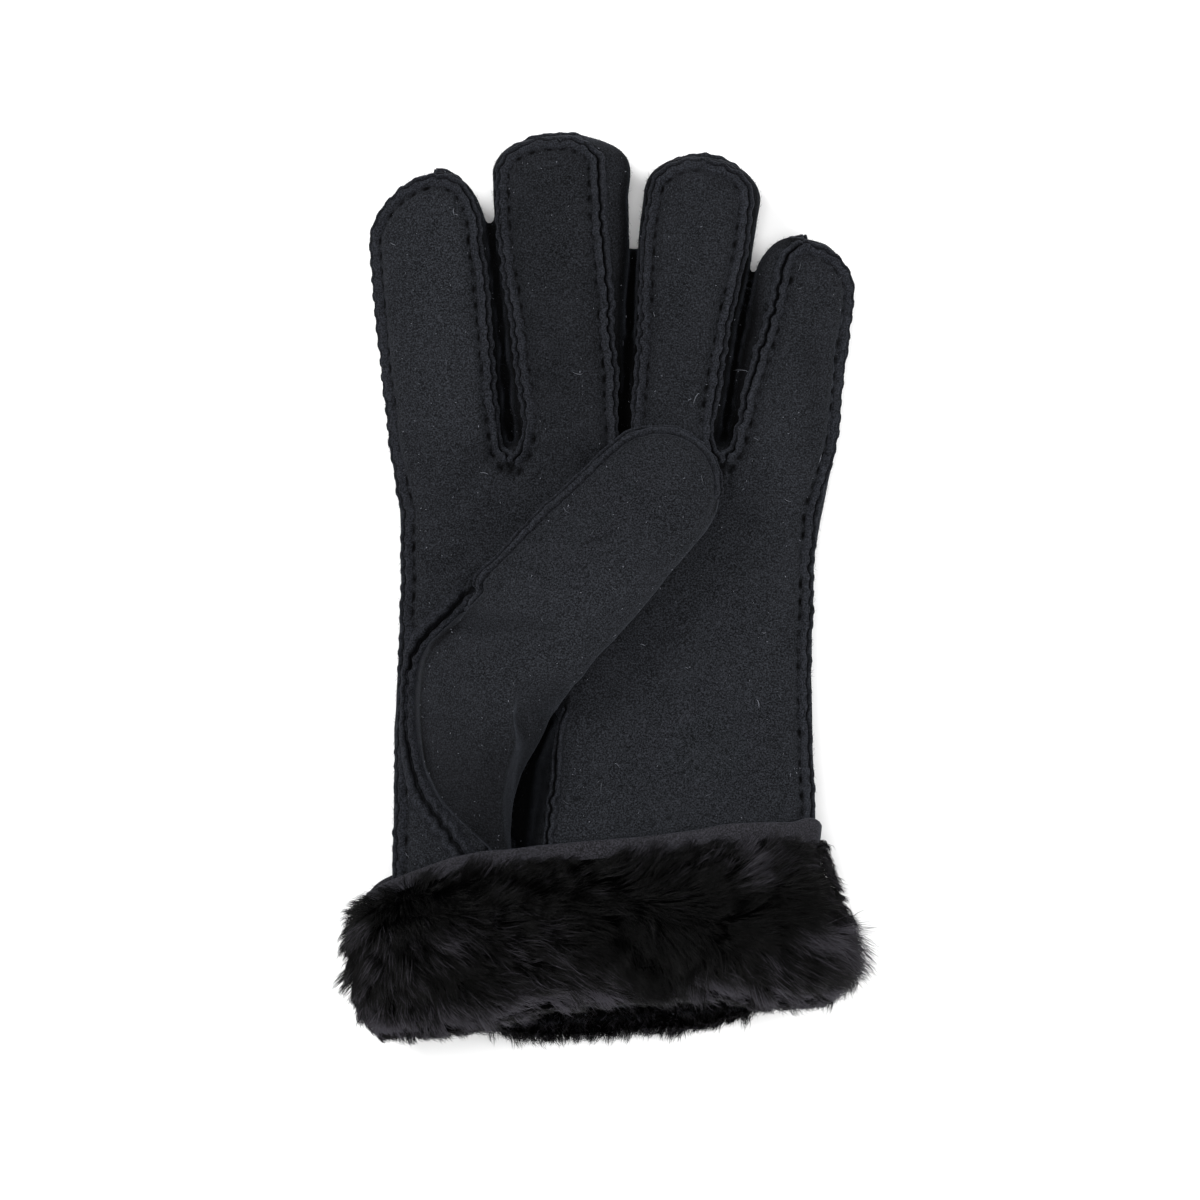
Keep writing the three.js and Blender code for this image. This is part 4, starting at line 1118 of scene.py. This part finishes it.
def makeBand():
    # a rounded hide edge: up the inside, over the edge on a half circle, and down the outside
    form = cuffForm
    edge = np.radians(np.linspace(0, 180, 9))
    thick = (form["bandStand"] - 0.3) / 2 + 0.45
    height = np.concatenate([[30, 38], form["height"] - thick + thick * np.sin(edge), [42, 36, 30]])
    stand = np.concatenate([[0.3, 0.3], 0.3 + thick - thick * np.cos(edge), [2.5, 2.0, 1.8]])
    angle = np.linspace(0, 2 * np.pi, form["turns"], endpoint=False)
    around = np.stack([np.cos(angle), np.sin(angle), 0 * angle], -1) * 40
    sway = 1.1 * softNoise(around, 17, 100) + 0.5 * softNoise(around, 6, 101)
    rise = 0.7 * softNoise(around, 12, 102)
    grid = cuffPoint(angle[:, None], height[None] + sway[:, None], stand[None] + np.maximum(0, rise[:, None]) * (height > 36))
    grid[..., 2] = np.maximum(grid[..., 2], 0.05)
    loop = np.concatenate([grid, grid[:1]])
    m = len(height)
    points = grid.reshape(-1, 3)
    r, c = np.meshgrid(np.arange(form["turns"]), np.arange(m), indexing="ij")
    nextRow, nextColumn = (r + 1) % form["turns"], (c + 1) % m
    faces = [np.stack([r * m + c, nextRow * m + c, nextRow * m + nextColumn, r * m + nextColumn], -1).reshape(-1, 4)]
    if volumeOf(points, faces) < 0:
        faces = [faces[0][:, ::-1]]
    return points, faces


addPiece("hide_band", makeBand(), bandSuede, ["cuff_band"])
print("cuff: band")

furForm = {
    "strands": 50000,
    "clumps": 1500,
    "length": (8, 14),
    "thick": 0.165,
    "mass": -3.2,  # the mass below the strands against the solid's face
}
# hollows in the wool on the front, where the strands also get painted shade: pixel of the photograph, reach across and
# up in mm, depth in mm
hollows = np.array([
    [385, 902, 9, 2.2, 4], [440, 892, 10, 2.2, 4.5], [500, 886, 10, 2.2, 4], [560, 905, 9, 3, 3], [610, 925, 7, 6, 3],
    [646, 965, 8, 8, 5.5], [730, 902, 10, 2.6, 3.5], [690, 930, 5, 6, 2.5], [770, 900, 6, 4, 3.5], [500, 955, 9, 1.6, 2.5],
])
# painted highlights on runs of wool: pixel, reach across and up in mm, how much
paintedHighlights = np.array([
    [450, 1012, 26, 5, 0.35], [560, 985, 14, 6, 0.3], [610, 955, 6, 9, 0.35], [725, 875, 11, 5, 0.35], [655, 858, 8, 4, 0.25],
    [815, 930, 11, 6, 0.7], [372, 915, 7, 4, 0.3], [470, 935, 14, 5, 0.3], [720, 985, 14, 6, 0.35], [475, 862, 8, 4, 0.25],
])


def spotShare(points, spots):
    # the sum of exp(-(x / reach across)^2 - (y / reach up)^2) * amount over the spots
    at = traced(spots[:, :2])
    gap = (points[..., None, :2] - at) / spots[:, 2:4]
    return (np.exp(-(gap ** 2).sum(-1)) * spots[:, 4]).sum(-1)


# the wool's section from the band, out over its face, round the fold and into the mouth
woolRows = {
    "t": [0, 0.12, 0.3, 0.5, 0.68, 0.8, 0.87, 0.93, 1.0],
    "height": [1.0, 0.97, 0.74, 0.42, 0.12, 0.0, -0.06, -0.05, 0.12],
    "pile": [0.0, 0.5, 0.9, 1.0, 0.82, 0.45, 0.1, -0.4, -0.66],
}


def woolPoint(angle, t, more):
    # the solid's face at share t of its section, moved outwards by more
    form = cuffForm
    height = np.interp(t, woolRows["t"], woolRows["height"]) * form["woolHeight"]
    pile = np.interp(t, woolRows["t"], woolRows["pile"]) * form["pile"]
    x = np.cos(angle) * 56
    raised = np.where(np.sin(angle) > 0, form["notch"], -form["tongue"])
    height = height + raised * np.exp(-((x - 6) / 27) ** 4) * smoothStep(0.45, 0.8, t)
    pile = pile * (1 - form["thin"] * smoothStep(0.7, 0.92, np.cos(angle)) * smoothStep(0.62, 0.3, t))
    return cuffPoint(angle, height, form["woolStand"], pile + more)


def woolFrame(angle, t, more=0.0):
    # the point, its outward normal, and the ways round the cuff and along its section
    step = 0.004
    here = woolPoint(angle, t, more)
    around = unit(woolPoint(angle + step, t, more) - woolPoint(angle - step, t, more))
    down = unit(woolPoint(angle, np.minimum(t + step, 1), more) - woolPoint(angle, np.maximum(t - step, 0), more))
    return here, unit(np.cross(around, down)), around, down


def makeWoolMass():
    # the dense wool below the strands, with lumps
    turns, rows = 280, 46
    angle = np.linspace(0, 2 * np.pi, turns, endpoint=False)
    t = np.linspace(0, 1, rows)
    grid, normal, _, _ = woolFrame(angle[:, None], t[None])
    lumps = furForm["mass"] + 1.6 * softNoise(grid, 9, 110) + 0.8 * softNoise(grid, 4, 111)
    lumps = lumps - spotShare(grid, hollows) * smoothStep(16, 22, grid[..., 2])
    pile = np.interp(t, woolRows["t"], woolRows["pile"]) * cuffForm["pile"]
    lumps = np.maximum(lumps, -0.72 * np.maximum(pile, 1.5)[None]) * smoothStep(0, 0.08, t)[None]
    grid = grid + normal * lumps[..., None]
    inner = woolPoint(angle[:, None], np.array([1.0])[None], -0.5)
    mouth = palmPlace(np.array([0.06, 0.1]))
    for key in ("half", "rise", "drop"):
        mouth[key] = mouth[key] - 4.4
    inside = np.moveaxis(ringsOf(mouth, angle, handForm["palmPower"]), 0, 1)
    grid = np.concatenate([grid, inner, inside], 1)
    grid[..., 2] = np.maximum(grid[..., 2], 0.3)
    m = grid.shape[1]
    r, c = np.meshgrid(np.arange(turns), np.arange(m), indexing="ij")
    nextRow, nextColumn = (r + 1) % turns, (c + 1) % m
    faces = [np.stack([r * m + c, nextRow * m + c, nextRow * m + nextColumn, r * m + nextColumn], -1).reshape(-1, 4)]
    points = grid.reshape(-1, 3)
    if volumeOf(points, faces) < 0:
        faces = [faces[0][:, ::-1]]
    return points, faces


massPoints, massFaces = makeWoolMass()
addPiece("wool_mass", (massPoints, massFaces), deepWool, ["cuff_wool"], tone=np.full(len(massPoints), 0.05))
print("cuff: wool mass")

# how the wool lies on the front: pixel of the photograph, degrees from the image's right, and how flat
combing = np.array([
    [345, 930, 185, 0.6], [350, 985, 238, 0.6], [374, 985, 272, 0.7], [382, 1022, 285, 0.7], [430, 1030, 320, 0.8], [500, 1028, 330, 0.8],
    [400, 908, 325, 0.6], [445, 935, 325, 0.8], [405, 965, 310, 0.8], [525, 960, 345, 0.8], [590, 970, 310, 0.8], [600, 1005, 330, 0.8],
    [475, 860, 70, 0.6], [560, 880, 10, 0.6], [650, 858, 60, 0.6], [725, 875, 28, 0.85], [765, 850, 60, 0.6],
    [660, 935, 280, 0.5], [815, 930, 5, 0.9], [850, 925, 10, 0.9], [790, 965, 300, 0.7], [820, 875, 275, 0.6],
    [840, 985, 320, 0.7], [700, 1000, 300, 0.6], [360, 880, 200, 0.4], [800, 1010, 320, 0.6],
])
combAt = traced(combing[:, :2])


def combOf(points):
    # the mean of the combing arrows, each weighed by exp(-(distance / 13 mm)^2)
    gap = np.linalg.norm(points[:, None, :2] - combAt[None], axis=2)
    weight = np.exp(-(gap / 13) ** 2) + 1e-9
    weight /= weight.sum(1, keepdims=True)
    turn = np.radians(combing[:, 2])
    arrow = weight @ np.stack([np.cos(turn), np.sin(turn), 0 * turn], -1)
    return unit(arrow), weight @ combing[:, 3]


def makeFur():
    # root + length * (s * first way + s^2 * (comb way - first way)) with curl, tips drawn to their clump's tip
    random = np.random.default_rng(seed + 1)
    form = furForm
    n = form["strands"]
    angle = random.uniform(0, 2 * np.pi, n * 3)
    t = random.uniform(0.02, 0.98, n * 3)
    here, normal, around, down = woolFrame(angle, t)
    step = 0.01
    area = np.linalg.norm(np.cross(
        woolPoint(angle + step, t, 0) - here, woolPoint(angle, np.minimum(t + step, 1), 0) - here), axis=1)
    weight = area * np.where(here[:, 2] < 3, 0.25, 1) * np.where(here[:, 2] < 13, 0.6, 1) + 0.4 * area * (t > 0.8)
    inMouth = (t > 0.82) & (np.sin(angle) < 0) & (np.abs(here[:, 0] - 6) < 34)
    weight = weight * np.where(inMouth, 7, 1)
    chosen = random.choice(len(angle), n, replace=False, p=weight / weight.sum())
    here, normal, down, t, angle = here[chosen], normal[chosen], down[chosen], t[chosen], angle[chosen]
    comb, flat = combOf(here)
    front = smoothStep(-0.35, 0.2, normal[:, 2])[:, None] * smoothStep(14, 20, here[:, 2])[:, None]
    comb = unit(comb * front + down * (1 - front) + 0.12 * random.normal(size=here.shape))
    flat = np.minimum(flat[:, None] * front + 0.5 * (1 - front) + 0.1 * front, 1)
    comb = unit(comb - normal * np.einsum("ij,ij->i", comb, normal)[:, None])
    clumps = random.choice(n, form["clumps"], replace=False)
    owner = clumps[nearest(here, here[clumps], chunk=1500, around=400)]
    shared = random.normal(size=here.shape)[owner]
    isFront = smoothStep(16, 22, here[:, 2])
    hollow = spotShare(here, hollows) * isFront
    length = random.uniform(*form["length"], n)[owner] * random.uniform(0.75, 1.15, n)
    inner = t > 0.84
    corner = np.exp(-((here[:, 0] + 62) / 16) ** 2 - ((here[:, 1] + 116) / 12) ** 2)
    thin = smoothStep(0.66, 0.9, np.cos(angle)) * smoothStep(0.66, 0.34, t)
    length = length * np.where(inner, 0.3, 1 - 0.45 * smoothStep(0.6, 0.84, t) - 0.3 * smoothStep(0.3, 0.05, t)) * (1 - 0.4 * corner) * (1 - 0.62 * thin)
    tuft = np.exp(-((here[:, 0] - 62) / 9) ** 2 - ((here[:, 1] + 92) / 7) ** 2) * isFront
    length = length * (1 + 0.8 * tuft) * (1 - 0.25 * smoothStep(-58, -66, here[:, 0]))
    pile = np.interp(t, woolRows["t"], woolRows["pile"]) * cuffForm["pile"]
    depth = form["mass"] + 0.4 - hollow * 0.9 + 1.2 * softNoise(here, 12, 120)
    depth = np.where(inner, -0.8, np.maximum(depth, -0.75 * np.maximum(pile, 1.5)))
    root = here + normal * depth[:, None]
    s = np.linspace(0, 1, 5)[None, :, None]
    first = unit(normal * (1.2 - flat) + comb * flat * 0.7 + 0.14 * shared)
    last = unit(comb + normal * (0.25 - 0.35 * flat) + 0.24 * shared)
    reach = length[:, None, None]
    line = root[:, None] + reach * (s * first[:, None] + s ** 2 * 0.5 * (last - first)[:, None])
    line = line + (line[owner] - line) * (0.24 * s ** 1.5) * smoothStep(7, 3, np.linalg.norm(root - root[owner], axis=1))[:, None, None]
    curl = random.uniform(0, 2 * np.pi, n)[owner][:, None, None] + random.uniform(-0.8, 0.8, (n, 1, 1)) + s * random.uniform(3, 6.5, (n, 1, 1))
    bend = unit(np.cross(first, last + 1e-3))
    wave = np.where(inner, 0.9, 0.6)[:, None, None]
    line = line + wave * s * (np.sin(curl) * bend[:, None] + np.cos(curl) * normal[:, None])
    line[..., 2] = np.maximum(line[..., 2], 0.25)
    radius = form["thick"] / 2 * random.uniform(0.7, 1.15, (n, 1)) * np.array([1, 1, 0.85, 0.6, 0])[None]
    # painted highlights on the runs listed in the highlight table
    paintedHighlight = 1.3 * spotShare(here, paintedHighlights) * isFront
    # random tone by clump, by strand and by patch
    shade = 0.07 + 0.09 * random.normal(size=n)[owner] + 0.6 * random.random(n) ** 3 + 0.34 * softNoise(here, 9, 121)
    # painted light along the roll's lower edge, and a painted rim of light across its middle front
    lit = smoothStep(0.7, 0.78, t) * isFront * (0.62 + 0.3 * softNoise(here, 15, 122))
    paintedRimLight = np.exp(-((here[:, 0] - 2) / 27) ** 4) * smoothStep(0.64, 0.74, t) * isFront
    shade = shade + lit + 0.6 * paintedRimLight
    # in the mouth: dark strands, with a random fifth bright as painted highlights
    shade = np.where(inner, 0.02 + 0.8 * (random.random(n) < 0.2), shade)
    # painted highlights added, and painted shade in the hollows
    shade = (shade + 0.8 * paintedHighlight) * (1 - 0.3 * np.minimum(hollow, 3))
    # along each strand: painted shade towards the root, lighter towards the tip
    shade = shade[:, None] + np.array([-0.5, -0.3, 0.0, 0.15, 0.24])[None]
    shade = np.clip(shade, 0, 1)
    return line, radius, shade, t, angle


line, radius, shade, t, angle = makeFur()
front, left, high = np.sin(angle) > 0, np.cos(angle) < 0, t < 0.42
outer = t < 0.84
parts = {
    "wool_front_band_left": front & left & high, "wool_front_band_right": front & ~left & high,
    "wool_front_fold_left": front & left & ~high & outer, "wool_front_fold_right": front & ~left & ~high & outer,
    "wool_back_band": ~front & high, "wool_back_fold": ~front & ~high & outer,
    "wool_mouth_left": ~outer & left, "wool_mouth_right": ~outer & ~left,
}
for name, chosen in parts.items():
    body = strandMesh(line[chosen], radius[chosen])
    tone = np.concatenate([np.repeat(shade[chosen][:, :-1], 3, axis=1), shade[chosen][:, -1:]], 1).ravel()
    addPiece(name, body, wool, tone=tone)
    print("cuff:", name, int(chosen.sum()), "strands")


# Camera, floor and light
viewForm = {"height": 2.2, "level": 0.011, "field": 0.324, "centre": (-0.00054, -0.00324)}


def makeStage():
    scene = bpy.context.scene
    camera = bpy.data.cameras.new("camera")
    camera.sensor_width = 36
    camera.lens = 36 * (viewForm["height"] - viewForm["level"]) / viewForm["field"]
    camera.clip_end = 20
    eye = bpy.data.objects.new("camera", camera)
    eye.location = (*viewForm["centre"], viewForm["height"])
    scene.collection.objects.link(eye)
    scene.camera = eye

    floorMesh = bpy.data.meshes.new("floor")
    floorMesh.from_pydata([(-4, -4, 0), (4, -4, 0), (4, 4, 0), (-4, 4, 0)], [], [(0, 1, 2, 3)])
    floor = bpy.data.objects.new("floor", floorMesh)
    scene.collection.objects.link(floor)
    paper = newMaterial("whitePaper")
    finishMaterial(paper, {"Base Color": linear("#f4f4f4"), "Roughness": 0.9, "IOR": 1.45})
    floorMesh.materials.append(paper)

    world = bpy.data.worlds.new("studio")
    world.use_nodes = True
    world.node_tree.nodes["Background"].inputs[0].default_value = (1, 1, 1, 1)
    world.node_tree.nodes["Background"].inputs[1].default_value = 0.4
    scene.world = world
    # place, power in watts and size of each soft light, all aimed at the glove
    for name, spot, power, size in (
        ("topLight", (0.0, 0.1, 2.7), 42, 1.2), ("keyLight", (-0.95, 0.75, 1.15), 25, 0.7),
        ("lowLight", (0.25, -1.4, 0.5), 16, 0.7), ("rightLight", (1.3, 0.2, 0.7), 14, 0.7)):
        lamp = bpy.data.lights.new(name, "AREA")
        lamp.shape = "SQUARE"
        lamp.size = size
        lamp.energy = power
        holder = bpy.data.objects.new(name, lamp)
        place = np.array(spot)
        holder.location = spot
        aim = -place / np.linalg.norm(place)
        turn = np.arctan2(aim[1], aim[0])
        holder.rotation_euler = (np.arccos(-aim[2]), 0, turn - np.pi / 2)
        scene.collection.objects.link(holder)
    scene.view_settings.view_transform = "Standard"


makeStage()
